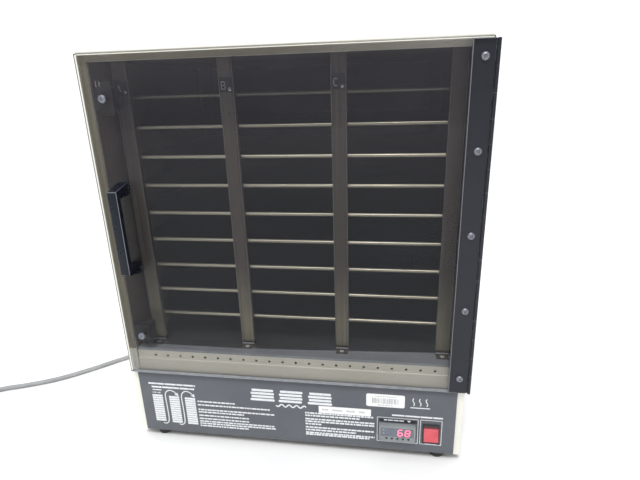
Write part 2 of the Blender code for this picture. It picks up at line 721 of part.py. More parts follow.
def build_catches():
    """Magnet blocks on the chamber's left wall, behind the strikes."""
    wall = CASE_X - CHAMBER_HALF + GAP
    for name, (x, z, _, _) in STRIKES.items():
        box(f"catch_{name}", (wall, CASE_FRONT + 0.0002, z - 0.012),
            (x + 0.008, CASE_FRONT + 0.016, z + 0.012), black_plastic(), bevel=0.0008)


# ---------------------------------------------------------------------------------- controls
def key_places():
    middle = CASE_X + CONTROLLER_CENTRE[0] + 0.0005
    return [middle + (i - (KEY_COUNT - 1) / 2) * KEY_PITCH for i in range(KEY_COUNT)]


KEY_HEIGHT = CONTROLLER_CENTRE[1] - 0.0063
CONTROLLER_FRONT = FASCIA_FRONT - GAP - CONTROLLER_REACH


def build_controller():
    """A 48 x 24 mm panel controller: bezel and case, window and five small keys."""
    x, z = CASE_X + CONTROLLER_CENTRE[0], CONTROLLER_CENTRE[1]
    half_x, half_z = CONTROLLER_SIZE[0] / 2, CONTROLLER_SIZE[1] / 2
    case = box("controller_case", (x - half_x, CONTROLLER_FRONT, z - half_z),
               (x + half_x, FASCIA_FRONT - GAP, z + half_z), grey_plastic(), bevel=0.0008)
    half_w, half_h, depth = CONTROLLER_CASE[0] / 2, CONTROLLER_CASE[1] / 2, CONTROLLER_CASE[2]
    join(case, "body", [box_shape((x - half_w, FASCIA_FRONT - 0.003, z - half_h),
                                  (x + half_w, FASCIA_FRONT + depth, z + half_h))])
    window_low = (x - 0.0215, CONTROLLER_FRONT - 0.01, z - 0.0032)
    window_high = (x + 0.0215, CONTROLLER_FRONT + 0.0015, z + 0.0102)
    cut(case, "window_recess", [box_shape(window_low, window_high)])
    cut(case, "key_bores", [rod_shape((key_x, CONTROLLER_FRONT - 0.01, KEY_HEIGHT),
                                      (key_x, CONTROLLER_FRONT + 0.0035, KEY_HEIGHT),
                                      KEY_RADIUS + GAP, segments=12) for key_x in key_places()])
    box("controller_window", (window_low[0] + GAP, CONTROLLER_FRONT + 0.0001, window_low[2] + GAP),
        (window_high[0] - GAP, window_high[1] - GAP, window_high[2] - GAP), red_lens())
    profile = [(0, 0), (KEY_RADIUS - 0.0003, 0), (KEY_RADIUS, 0.0003), (KEY_RADIUS, 0.003), (0, 0.003)]
    for i, key_x in enumerate(key_places()):
        turned(f"controller_key_{i + 1}", profile, black_plastic(),
               (key_x, CONTROLLER_FRONT - 0.0005, KEY_HEIGHT), axis="Y", steps=12)


def build_switch():
    """A lit rocker switch in its housing, tilted to on."""
    x, z = CASE_X + SWITCH_CENTRE[0], SWITCH_CENTRE[1]
    half_x, half_z = SWITCH_BEZEL[0] / 2, SWITCH_BEZEL[1] / 2
    bezel_front = FASCIA_FRONT - GAP - 0.0018
    housing = box("switch_housing", (x - half_x, bezel_front, z - half_z),
                  (x + half_x, FASCIA_FRONT - GAP, z + half_z), black_plastic(), bevel=0.0006)
    body_x, body_z = SWITCH_OPENING[0] / 2 + 0.0005, SWITCH_OPENING[1] / 2 + 0.0005
    join(housing, "body", [box_shape((x - body_x, FASCIA_FRONT - 0.001, z - body_z),
                                     (x + body_x, FASCIA_FRONT + SWITCH_DEPTH, z + body_z))])
    hole_x, hole_z = SWITCH_OPENING[0] / 2 - 0.0001, SWITCH_OPENING[1] / 2 - 0.0001
    cut(housing, "opening", [box_shape((x - hole_x, bezel_front - 0.01, z - hole_z),
                                       (x + hole_x, FASCIA_FRONT + 0.013, z + hole_z))])
    axle_y = FASCIA_FRONT + 0.0032
    cut(housing, "axle_bores", [rod_shape((x - 0.02, axle_y, z), (x + 0.02, axle_y, z), 0.0015,
                                          segments=12)])
    half_h = ROCKER_SIZE[1] / 2
    outline = [(-0.0056, half_h - 0.0006), (-0.0050, half_h), (0, half_h - 0.0004),
               (0.0065, 0.0035), (0.0065, -0.0035), (0, -half_h + 0.0004),
               (-0.0050, -half_h), (-0.0056, -half_h + 0.0006), (-0.0041, 0)]
    tilt = Matrix.Rotation(-ROCKER_TILT, 2)
    tilted = [tuple(tilt @ Vector(point)) for point in outline]
    half_w = ROCKER_SIZE[0] / 2
    rocker = extrusion("switch_rocker", tilted, -half_w, half_w, red_lens(), place=(x, axle_y, z))
    reach = half_w + 0.0007
    join(rocker, "trunnions", [rod_shape((-reach, 0, 0), (reach, 0, 0), 0.0011, segments=12)])
    bpy.data.objects["switch_rocker_trunnions"].location = rocker.location


# ------------------------------------------------------------------------- heating and wiring
def build_fan():
    """An axial fan under the chamber's floor: a square frame with its motor, and the impeller."""
    top = FLOOR_TOP - SHEET - GAP
    low = top - FAN_HEIGHT
    y = DOOR_FRONT + FAN_DEPTH
    half = FAN_SIZE / 2
    frame = box("fan_housing", (CASE_X - half, y - half, low), (CASE_X + half, y + half, top),
                black_plastic(), bevel=0.003)
    cut(frame, "bore", [rod_shape((CASE_X, y, low - 0.01), (CASE_X, y, top + 0.01), FAN_BORE,
                                  segments=32)])
    reach = half - 0.0015
    join(frame, "struts", [box_shape((CASE_X - reach, y - 0.002, low), (CASE_X + reach, y + 0.002, low + 0.003))])
    join(frame, "cross_struts", [box_shape((CASE_X - 0.002, y - reach, low),
                                           (CASE_X + 0.002, y + reach, low + 0.003))])
    join(frame, "motor", [rod_shape((CASE_X, y, low), (CASE_X, y, low + 0.005), 0.018, segments=20)])
    join(frame, "shaft", [rod_shape((CASE_X, y, low + 0.004), (CASE_X, y, low + 0.016), 0.0015,
                                    segments=12)])
    hub = add_object("fan_impeller", mesh_from("hub", [
        rod_shape((0, 0, 0), (0, 0, 0.0165), 0.0185, segments=21)]), black_plastic(),
        (CASE_X, y, low + 0.0055))
    blades = []
    for i in range(FAN_BLADES):
        turn = Matrix.Rotation(2 * math.pi * i / FAN_BLADES, 4, "Z")
        pitch = Matrix.Rotation(math.radians(32), 4, "X")
        place = turn @ Matrix.Translation((0.0285, 0, 0.0082)) @ pitch @ Matrix.Diagonal((0.0245, 0.020, 0.0014, 1))
        blades.append(lambda target, place=place: bmesh.ops.create_cube(target, size=1, matrix=place))
    join(hub, "blades", blades)
    cut(hub, "shaft_bore", [rod_shape((0, 0, -0.01), (0, 0, 0.012), 0.0019, segments=12)])
    for name in ("blades", "shaft_bore"):
        bpy.data.objects[f"fan_impeller_{name}"].location = hub.location


def build_heater():
    """A sheathed heating element, bent into four upright runs behind the chamber."""
    y = DOOR_FRONT + CHAMBER_BACK + 0.013
    low, high, pitch = 0.180, 0.300, 0.040
    points = []
    for run in range(6):
        x = CASE_X + (run - 2.5) * pitch
        bend = pitch / 2
        up = run % 2 == 0
        points.append((x, y, low + bend if up else high - bend))
        points.append((x, y, high - bend if up else low + bend))
        if run < 5:
            middle_z = high - bend if up else low + bend
            for step in range(1, 6):
                angle = math.pi * step / 6
                rise = bend * math.sin(angle) * (1 if up else -1)
                points.append((x + bend - bend * math.cos(angle), y, middle_z + rise))
    tube("heater_element", points, 0.0032, dark_steel())


def build_terminal_block():
    """The barrier strip that joins the cord to the switch, controller and heater."""
    x, y, z = GLAND_X + 0.045, CASE_REAR - 0.070, FOOT_HEIGHT + SHEET + GAP
    block = box("terminal_block", (x - 0.028, y - 0.011, z), (x + 0.028, y + 0.011, z + 0.014),
                grey_plastic())
    cut(block, "ways", [box_shape((x - 0.026 + 0.011 * i, y - 0.02, z + 0.008),
                                  (x - 0.018 + 0.011 * i, y + 0.02, z + 0.02)) for i in range(5)])


# -------------------------------------------------------------------------------- power cord
def build_gland():
    """The strain relief: a neck in the back panel, a flange and a tapered sleeve."""
    radius = CORD_DIAMETER / 2
    panel = CASE_REAR - 0.0005
    profile = [(0, -0.006), (0.0088, -0.006), (0.0088, GAP), (0.0120, GAP), (0.0120, 0.0035),
               (0.0085, 0.0045), (radius + 0.0008, GLAND_LENGTH), (0, GLAND_LENGTH)]
    turned("cord_gland", [(r, -h) for r, h in reversed(profile)], cord_grey(),
           (GLAND_X, panel, GLAND_Z), axis="Y", steps=20).rotation_euler = (math.radians(90), 0, 0)


CORD_START = (GLAND_X, CASE_REAR - 0.0005 + GLAND_LENGTH + GAP, GLAND_Z)
CORD_LOW = CORD_DIAMETER / 2 + 0.0002
CORD_KNOTS = [
    CORD_START,
    (-0.1655, 0.2430, 0.0465),
    (-0.1700, 0.2610, 0.0375),
    (-0.1815, 0.2755, 0.0235),
    (-0.2000, 0.2830, 0.0105),
    (-0.2220, 0.2795, CORD_LOW),
    (-0.2420, 0.2635, CORD_LOW),
    (-0.2565, 0.2370, CORD_LOW),
    (-0.2650, 0.2000, CORD_LOW),
    (-0.2720, 0.1550, CORD_LOW),
    (-0.2870, 0.1120, CORD_LOW),
    (-0.3100, 0.0820, CORD_LOW),
    (-0.3420, 0.0545, CORD_LOW),
    (-0.3780, 0.0215, CORD_LOW),
    (-0.4170, -0.0160, CORD_LOW),
    (-0.4560, -0.0470, CORD_LOW),
    (-0.4980, -0.0690, CORD_LOW),
    (-0.5350, -0.0850, CORD_LOW),
]


def round_coil(angle):
    """The outward direction at an angle round the coil, and the direction the cord runs there."""
    outward = Vector((math.cos(angle), math.sin(angle), 0))
    return outward, Vector((-outward.y, outward.x, 0))


def build_cord():
    """The lead from the gland along the table, and its coil."""
    outer = COIL_RADIUS + 1.5 * CORD_DIAMETER
    inner = COIL_RADIUS - 1.5 * CORD_DIAMETER
    outward, heading = round_coil(COIL_ARRIVAL)
    touch = Vector((*COIL_START, CORD_LOW))
    centre = touch - (outer - CORD_DIAMETER / 2) * outward
    clear = math.sqrt(outer ** 2 - (outer - CORD_DIAMETER) ** 2) + 2 * GAP
    route = smooth_route([*CORD_KNOTS, touch - clear * heading], 0.0125)
    tube("power_cord", route, CORD_DIAMETER / 2, cord_grey())
    height = COIL_LAYERS * CORD_DIAMETER
    profile = [(inner, 0.0002), (outer, 0.0002), (outer, height), (inner, height), (inner, 0.0002)]
    turned("cord_coil", profile, cord_grey(), (centre.x, centre.y, 0), steps=28)
    build_plug(centre, outer)


def build_plug(centre, outer):
    """A straight three-blade plug, lying on the table beside the coil."""
    neck_radius, neck_length = 0.0055, 0.022
    outward, heading = round_coil(PLUG_DEPARTURE)
    line = outer - CORD_DIAMETER / 2
    clear = math.sqrt(outer ** 2 - (line - neck_radius) ** 2) + 2 * GAP
    place = centre + line * outward + (clear + neck_length) * heading
    place.z = 0.0107
    turn = heading.to_track_quat("X", "Z").to_matrix().to_4x4()
    body = box("plug", (0, -0.0125, -0.0105), (0.032, 0.0125, 0.0105), cord_grey(), bevel=0.003)
    body.matrix_world = Matrix.Translation(place) @ turn
    join(body, "neck", [rod_shape((-neck_length, 0, 0), (0.002, 0, 0), neck_radius, 0.009, 14)])
    join(body, "blades", [
        box_shape((0.030, -0.0071, -0.0012), (0.050, -0.0056, 0.0052)),
        box_shape((0.030, 0.0056, -0.0012), (0.050, 0.0071, 0.0052))])
    join(body, "earth_pin", [rod_shape((0.030, 0, -0.0065), (0.052, 0, -0.0065), 0.0023, segments=12)])
    for name in ("neck", "blades", "earth_pin"):
        bpy.data.objects[f"plug_{name}"].matrix_world = body.matrix_world


# -------------------------------------------------------------------------------------- whole
def main():
    clear_scene()
    build_outer_shell()
    build_front_rail()
    build_fascia()
    build_back_panel()
    build_base_pan()
    build_feet()
    build_floor_pan()
    build_liner()
    build_probe()
    build_rack_base()
    build_shelves()
    build_posts()
    build_rear_rails()
    build_door_panel()
    build_hinge()
    build_hinge_screws()
    build_handle()
    build_strikes()
    build_catches()
    build_controller()
    build_switch()
    build_fan()
    build_heater()
    build_terminal_block()
    build_gland()
    build_cord()


main()
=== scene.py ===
"""Looks of the hot towel cabinet: its camera, cord, finishes and fine detail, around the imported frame.

Metres, +Z up, front towards -Y, as in the frame. Places come from the frame's own boxes.
"""

import json
import math
import random

import bmesh
import bpy
from mathutils import Matrix, Vector


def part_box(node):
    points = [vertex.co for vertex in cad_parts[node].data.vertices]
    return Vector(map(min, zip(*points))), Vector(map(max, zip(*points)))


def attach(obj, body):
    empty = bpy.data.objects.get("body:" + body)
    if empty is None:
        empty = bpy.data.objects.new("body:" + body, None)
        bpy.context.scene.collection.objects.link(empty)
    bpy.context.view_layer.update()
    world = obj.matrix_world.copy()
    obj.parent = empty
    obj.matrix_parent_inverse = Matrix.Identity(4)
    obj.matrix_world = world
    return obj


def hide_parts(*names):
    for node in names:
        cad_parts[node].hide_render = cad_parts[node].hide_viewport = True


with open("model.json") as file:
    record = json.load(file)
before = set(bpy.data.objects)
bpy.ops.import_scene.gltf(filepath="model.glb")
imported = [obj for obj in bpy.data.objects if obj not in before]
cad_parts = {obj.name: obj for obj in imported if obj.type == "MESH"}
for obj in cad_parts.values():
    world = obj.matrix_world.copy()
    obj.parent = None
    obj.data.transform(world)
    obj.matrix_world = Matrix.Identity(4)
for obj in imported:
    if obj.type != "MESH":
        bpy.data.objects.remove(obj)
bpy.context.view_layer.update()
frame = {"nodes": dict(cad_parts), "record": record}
NODES = frame["nodes"]
MM = 0.001


class Extent:
    """A CAD node's box at rest, by the names of its sides."""

    def __init__(self, node):
        low, high = (Vector(corner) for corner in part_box(node))
        self.left, self.front, self.bottom = low
        self.right, self.back, self.top = high
        self.centre = (low + high) / 2
        self.width, self.depth, self.height = high - low


DOOR = Extent("door_panel")
FASCIA = Extent("fascia_panel")
SHELL = Extent("outer_shell")
RAIL = Extent("front_rail")
POST = Extent("post_b")
CASE_SIDE = SHELL.right + 1.5 * MM
HINGE_AXIS = next(Vector(joint["pos_m"]) for joint in frame["record"]["behaviour"]["joints"]
                  if joint["name"] == "door_hinge")
STRIKE_SCREWS = {"door_strike_top": 364.3 * MM, "door_strike_bottom": 58.1 * MM}    # above the door's foot
POST_WEB = 9.8 * MM           # a post's face is this far behind the front of its foot
POST_BEND = 9 * MM            # and the bend between them is this far above the foot's underside
POSTS = ("post_a", "post_b", "post_c", "post_right")


def put(name, data):
    """A new object in the scene."""
    made = bpy.data.objects.new(name, data)
    bpy.context.scene.collection.objects.link(made)
    return made


# --------------------------------------------------------------------------------------- camera
def make_camera():
    data = bpy.data.cameras.new("camera")
    data.sensor_width = 36
    data.lens = 25.525
    data.clip_start = 0.01
    camera = put("camera", data)
    pan = Matrix.Rotation(math.radians(8.857), 4, "Z")
    tilt = Matrix.Rotation(math.radians(71.70), 4, "X")
    roll = Matrix.Rotation(math.radians(-1.693), 4, "Z")
    camera.matrix_world = Matrix.Translation((0.12435, -0.66444, 0.48328)) @ pan @ tilt @ roll
    bpy.context.scene.camera = camera


# ------------------------------------------------------------------------------------- finishes
class Finish:
    """A material being made: one Principled shader, and the textures that drive it."""

    def __init__(self, name, colour, roughness, metallic=0.0, **sockets):
        self.material = bpy.data.materials.new(name)
        self.material.use_nodes = True
        self.tree = self.material.node_tree
        self.shader = self.tree.nodes["Principled BSDF"]
        self.set("Base Color", (*colour, 1.0))
        self.set("Roughness", roughness)
        self.set("Metallic", metallic)
        for socket, value in sockets.items():
            self.set(socket.replace("_", " "), value)
        self.place = self.node("ShaderNodeTexCoord").outputs["Object"]

    def set(self, socket, value):
        self.shader.inputs[socket].default_value = value

    def node(self, kind, **settings):
        made = self.tree.nodes.new(kind)
        for name, value in settings.items():
            setattr(made, name, value)
        return made

    def link(self, source, target):
        self.tree.links.new(source, target)

    def noise(self, size, detail=3.0, stretch=(1, 1, 1), roughness=0.5):
        """Noise whose features are about size metres across, drawn out along the axes by stretch."""
        mapping = self.node("ShaderNodeMapping")
        mapping.inputs["Scale"].default_value = [1 / (size * s) for s in stretch]
        texture = self.node("ShaderNodeTexNoise")
        texture.inputs["Scale"].default_value = 1.0
        texture.inputs["Detail"].default_value = detail
        texture.inputs["Roughness"].default_value = roughness
        self.link(self.place, mapping.inputs["Vector"])
        self.link(mapping.outputs["Vector"], texture.inputs["Vector"])
        return texture.outputs["Fac"]

    def spread(self, value, low, high, start=0.3, end=0.7):
        """Maps a noise's middle range to low..high."""
        mapped = self.node("ShaderNodeMapRange")
        for socket, number in (("From Min", start), ("From Max", end), ("To Min", low), ("To Max", high)):
            mapped.inputs[socket].default_value = number
        self.link(value, mapped.inputs["Value"])
        return mapped.outputs["Result"]

    def blend(self, factor, first, second):
        """A colour between two, each a socket or a triple."""
        mixed = self.node("ShaderNodeMix", data_type="RGBA")
        colours = [s for s in mixed.inputs if s.type == "RGBA"]
        for socket, colour in zip(colours, (first, second)):
            if isinstance(colour, tuple):
                socket.default_value = (*colour, 1.0)
            else:
                self.link(colour, socket)
        self.link(factor, mixed.inputs[0])
        return next(s for s in mixed.outputs if s.type == "RGBA")

    def along(self, axis):
        """The place along an axis, in metres, with the part at rest."""
        axes = self.node("ShaderNodeSeparateXYZ")
        self.link(self.place, axes.inputs["Vector"])
        return axes.outputs[axis]

    def colour(self, source):
        self.link(source, self.shader.inputs["Base Color"])

    def tones(self, size, dark, light, **noise):
        """A colour that wanders between two."""
        return self.blend(self.spread(self.noise(size, **noise), 0, 1), dark, light)

    def mottle(self, size, dark, light, **noise):
        self.colour(self.tones(size, dark, light, **noise))

    def vary_roughness(self, size, low, high, **noise):
        self.link(self.spread(self.noise(size, **noise), low, high), self.shader.inputs["Roughness"])

    def bump(self, size, height, **noise):
        """Relief of the given height in metres."""
        relief = self.node("ShaderNodeBump")
        relief.inputs["Strength"].default_value = 1.0
        relief.inputs["Distance"].default_value = height
        self.link(self.noise(size, **noise), relief.inputs["Height"])
        self.link(relief.outputs["Normal"], self.shader.inputs["Normal"])

    def glow(self, colour, strength):
        self.set("Emission Color", (*colour, 1.0))
        self.set("Emission Strength", strength)

    def worn_edges(self, width, under, worn):
        """Colour along the edges, found by how far a rounded normal turns there."""
        rounded = self.node("ShaderNodeBevel", samples=6)
        rounded.inputs["Radius"].default_value = width
        geometry = self.node("ShaderNodeNewGeometry")
        agreement = self.node("ShaderNodeVectorMath", operation="DOT_PRODUCT")
        self.link(rounded.outputs["Normal"], agreement.inputs[0])
        self.link(geometry.outputs["Normal"], agreement.inputs[1])
        edge = self.spread(agreement.outputs["Value"], 1, 0, start=0.80, end=0.985)
        patchy = self.node("ShaderNodeMath", operation="MULTIPLY")
        self.link(edge, patchy.inputs[0])
        self.link(self.spread(self.noise(0.006, detail=5.0), 0.15, 1.0, 0.42, 0.6), patchy.inputs[1])
        self.colour(self.blend(patchy.outputs["Value"], under, worn))


def plain(name, colour, roughness, tones, gloss=None, relief=None, metallic=0.0, glow=None):
    """A finish of two tones; tones, gloss and relief give a texture's size, what it does and its detail."""
    finish = Finish(name, colour, roughness, metallic)
    for texture, values in ((finish.mottle, tones), (finish.vary_roughness, gloss), (finish.bump, relief)):
        if values:
            texture(*values[:-1], detail=values[-1])
    if glow:
        finish.glow(*glow)
    return finish.material


def cream_paint(name, dark, light, grey_above=None):
    """Warm white enamel; above the height grey_above, if given, it turns blue-grey."""
    finish = Finish(name, light, 0.42)
    paint = finish.tones(0.09, dark, light, detail=6.0)
    if grey_above is not None:
        blue_grey = finish.tones(0.05, (0.34, 0.36, 0.39), (0.40, 0.42, 0.455), detail=5.0)
        above = finish.spread(finish.along("Z"), 0, 1, grey_above, grey_above + 0.4 * MM)
        paint = finish.blend(above, paint, blue_grey)
    finish.colour(paint)
    finish.vary_roughness(0.03, 0.34, 0.5, detail=4.0)
    finish.bump(0.0016, 0.00004, detail=2.0)
    return finish.material


def black_enamel(name, base, worn, roughness, shine):
    """Black paint with a paler colour along its edges, wear on the hinge and painted highlight on the handle;
    shine is the strength of its reflection.
    """
    finish = Finish(name, base, roughness, Specular_IOR_Level=shine)
    finish.worn_edges(0.0006, base, worn)
    finish.vary_roughness(0.01, roughness - 0.06, roughness + 0.08, detail=5.0)
    finish.bump(0.0009, 0.00003, detail=3.0)
    return finish.material


def brushed(name, dark, light, roughness, grain):
    """Sheet steel with its grain drawn out along the axis where grain is long."""
    finish = Finish(name, dark, roughness, metallic=1.0)
    finish.mottle(0.0009, dark, light, detail=4.0, stretch=grain)
    finish.vary_roughness(0.0012, roughness - 0.06, roughness + 0.10, detail=4.0, stretch=grain)
    finish.bump(0.0012, 0.000008, detail=2.0, stretch=grain)
    return finish.material


def liner_steel():
    """Brownish sheet near the door, darkening towards the back as painted shade where little light gets into
    the chamber.
    """
    finish = Finish("liner_steel", (0.12, 0.105, 0.09), 0.45, metallic=0.6)
    grain = finish.spread(finish.noise(0.003, detail=4.0, stretch=(90, 1, 1)), 0, 1)
    front_tone = finish.blend(grain, (0.225, 0.180, 0.145), (0.330, 0.275, 0.230))
    painted_shade = finish.blend(grain, (0.030, 0.030, 0.034), (0.050, 0.049, 0.054))
    # Painted shade: the sheet darkens with its depth behind the front.
    depth = finish.spread(finish.along("Y"), 0, 1, SHELL.front + 30 * MM, SHELL.front + 160 * MM)
    finish.colour(finish.blend(depth, front_tone, painted_shade))
    finish.vary_roughness(0.003, 0.38, 0.52, detail=4.0)
    return finish.material


def post_steel():
    """Brown-grey sheet with drawn streaks, brighter and yellower towards the foot as painted light, with a
    dark band of painted shadow under the bend above the foot.
    """
    finish = Finish("post_steel", (0.15, 0.135, 0.13), 0.42, metallic=0.45)
    streaks = finish.spread(finish.noise(0.0032, detail=5.0, stretch=(1, 1, 120)), 0, 1)
    brown = finish.blend(streaks, (0.074, 0.058, 0.050), (0.132, 0.108, 0.094))
    # Painted light: this tone takes over towards the foot, where more light reaches the posts.
    painted_light_tone = finish.blend(streaks, (0.24, 0.22, 0.15), (0.44, 0.41, 0.29))
    bend = POST.bottom + POST_BEND
    near_foot = finish.spread(finish.along("Z"), 1, 0, bend, bend + 110 * MM)
    above_foot = finish.blend(near_foot, brown, painted_light_tone)
    # Painted shadow: a dark band under the bend, above the foot plate.
    shade = finish.spread(finish.along("Z"), 0, 1, bend - 4 * MM, bend)
    plate = finish.spread(finish.along("Z"), 0, 1, POST.bottom + 2 * MM, POST.bottom + 3 * MM)
    foot = finish.blend(plate, (0.17, 0.145, 0.115), (0.045, 0.038, 0.035))
    finish.colour(finish.blend(shade, foot, above_foot))
    finish.vary_roughness(0.003, 0.36, 0.5, detail=4.0, stretch=(1, 1, 60))
    return finish.material


def shelf_steel(name, lit_share):
    """A dark sheet with a bright rolled front lip, dimmed by lit_share as painted shade where the case's top
    shades the upper shelves.
    """
    finish = Finish(name, (0.06, 0.06, 0.065), 0.34, metallic=1.0)
    lip = Extent("shelf_1").front
    behind = finish.spread(finish.along("Y"), 0, 1, lip + 2.6 * MM, lip + 4 * MM)
    lip_tones = [tuple(lit_share * c for c in tone) for tone in ((0.54, 0.50, 0.39), (0.74, 0.69, 0.56))]
    bright = finish.tones(0.004, *lip_tones, detail=5.0, stretch=(30, 1, 1))
    dark = finish.tones(0.02, (0.040, 0.041, 0.050), (0.062, 0.064, 0.074), detail=5.0, stretch=(4, 1, 1))
    finish.colour(finish.blend(behind, bright, dark))
    finish.vary_roughness(0.002, 0.30, 0.46, detail=4.0, stretch=(40, 1, 1))
    return finish.material


def seal_rubber():
    """Aged rubber, paler towards the right."""
    finish = Finish("seal_rubber", (0.33, 0.30, 0.215), 0.6)
    aged = finish.tones(0.05, (0.300, 0.270, 0.190), (0.355, 0.325, 0.235), detail=5.0)
    rightwards = finish.spread(finish.along("X"), 0, 1, SHELL.centre.x, SHELL.right - 40 * MM)
    finish.colour(finish.blend(rightwards, aged, (0.62, 0.58, 0.50)))
    finish.bump(0.0012, 0.00004)
    return finish.material


def smoked_acrylic():
    """Each of the slab's two faces passes three quarters of the light; its colour is the smoke's tint with a
    painted reflection of the room, stronger high up.
    """
    finish = Finish("smoked_acrylic", (0.018, 0.017, 0.018), 0.03, Alpha=0.25, IOR=1.5)
    cloud = finish.spread(finish.noise(0.07, detail=5.0), 0, 1)
    thin = finish.blend(cloud, (0.017, 0.018, 0.023), (0.025, 0.026, 0.032))
    thick = finish.blend(cloud, (0.058, 0.056, 0.066), (0.074, 0.070, 0.080))
    # Painted reflection: the lighter, bluer colour towards the top stands for the room reflected in the slab.
    high = finish.spread(finish.along("Z"), 0, 1, DOOR.bottom + 220 * MM, DOOR.top)
    finish.colour(finish.blend(high, thin, thick))
    finish.vary_roughness(0.02, 0.015, 0.07, detail=6.0)
    return finish.material


def red_lens():
    """Lit from behind, with a dark band along its top as painted shadow of the housing over the rocker's
    pressed-in top.
    """
    finish = Finish("red_lens", (0.50, 0.055, 0.075), 0.34)
    finish.place = finish.node("ShaderNodeTexCoord").outputs["Generated"]
    # Painted shadow: the top band is dark, and the lamp's colour is dimmed there too.
    painted_shadow_band = finish.spread(finish.along("Z"), 0, 1, 0.80, 0.86)
    finish.place = finish.node("ShaderNodeTexCoord").outputs["Object"]
    lit = finish.tones(0.012, (0.46, 0.055, 0.07), (0.54, 0.085, 0.10), detail=2.0)
    finish.colour(finish.blend(painted_shadow_band, lit, (0.10, 0.012, 0.018)))
    lamp = finish.blend(painted_shadow_band, (1.0, 0.17, 0.21), (0.08, 0.01, 0.014))
    finish.link(lamp, finish.shader.inputs["Emission Color"])
    finish.set("Emission Strength", 0.15)
    finish.vary_roughness(0.006, 0.28, 0.40)
    return finish.material


def moulded(name, dark, light, roughness, grain=0.0006, height=0.00002):
    """Moulded plastic with a fine eroded texture."""
    return plain(name, dark, roughness, (0.02, dark, light, 5.0),
                 (0.006, roughness - 0.08, roughness + 0.10, 4.0), (grain, height, 2.0))


def ink(name, dark, light):
    """Screen-printed ink or a label's face: nearly even, a little thin in places."""
    return plain(name, light, 0.55, (0.0014, dark, light, 4.0), (0.004, 0.5, 0.65, 3.0))


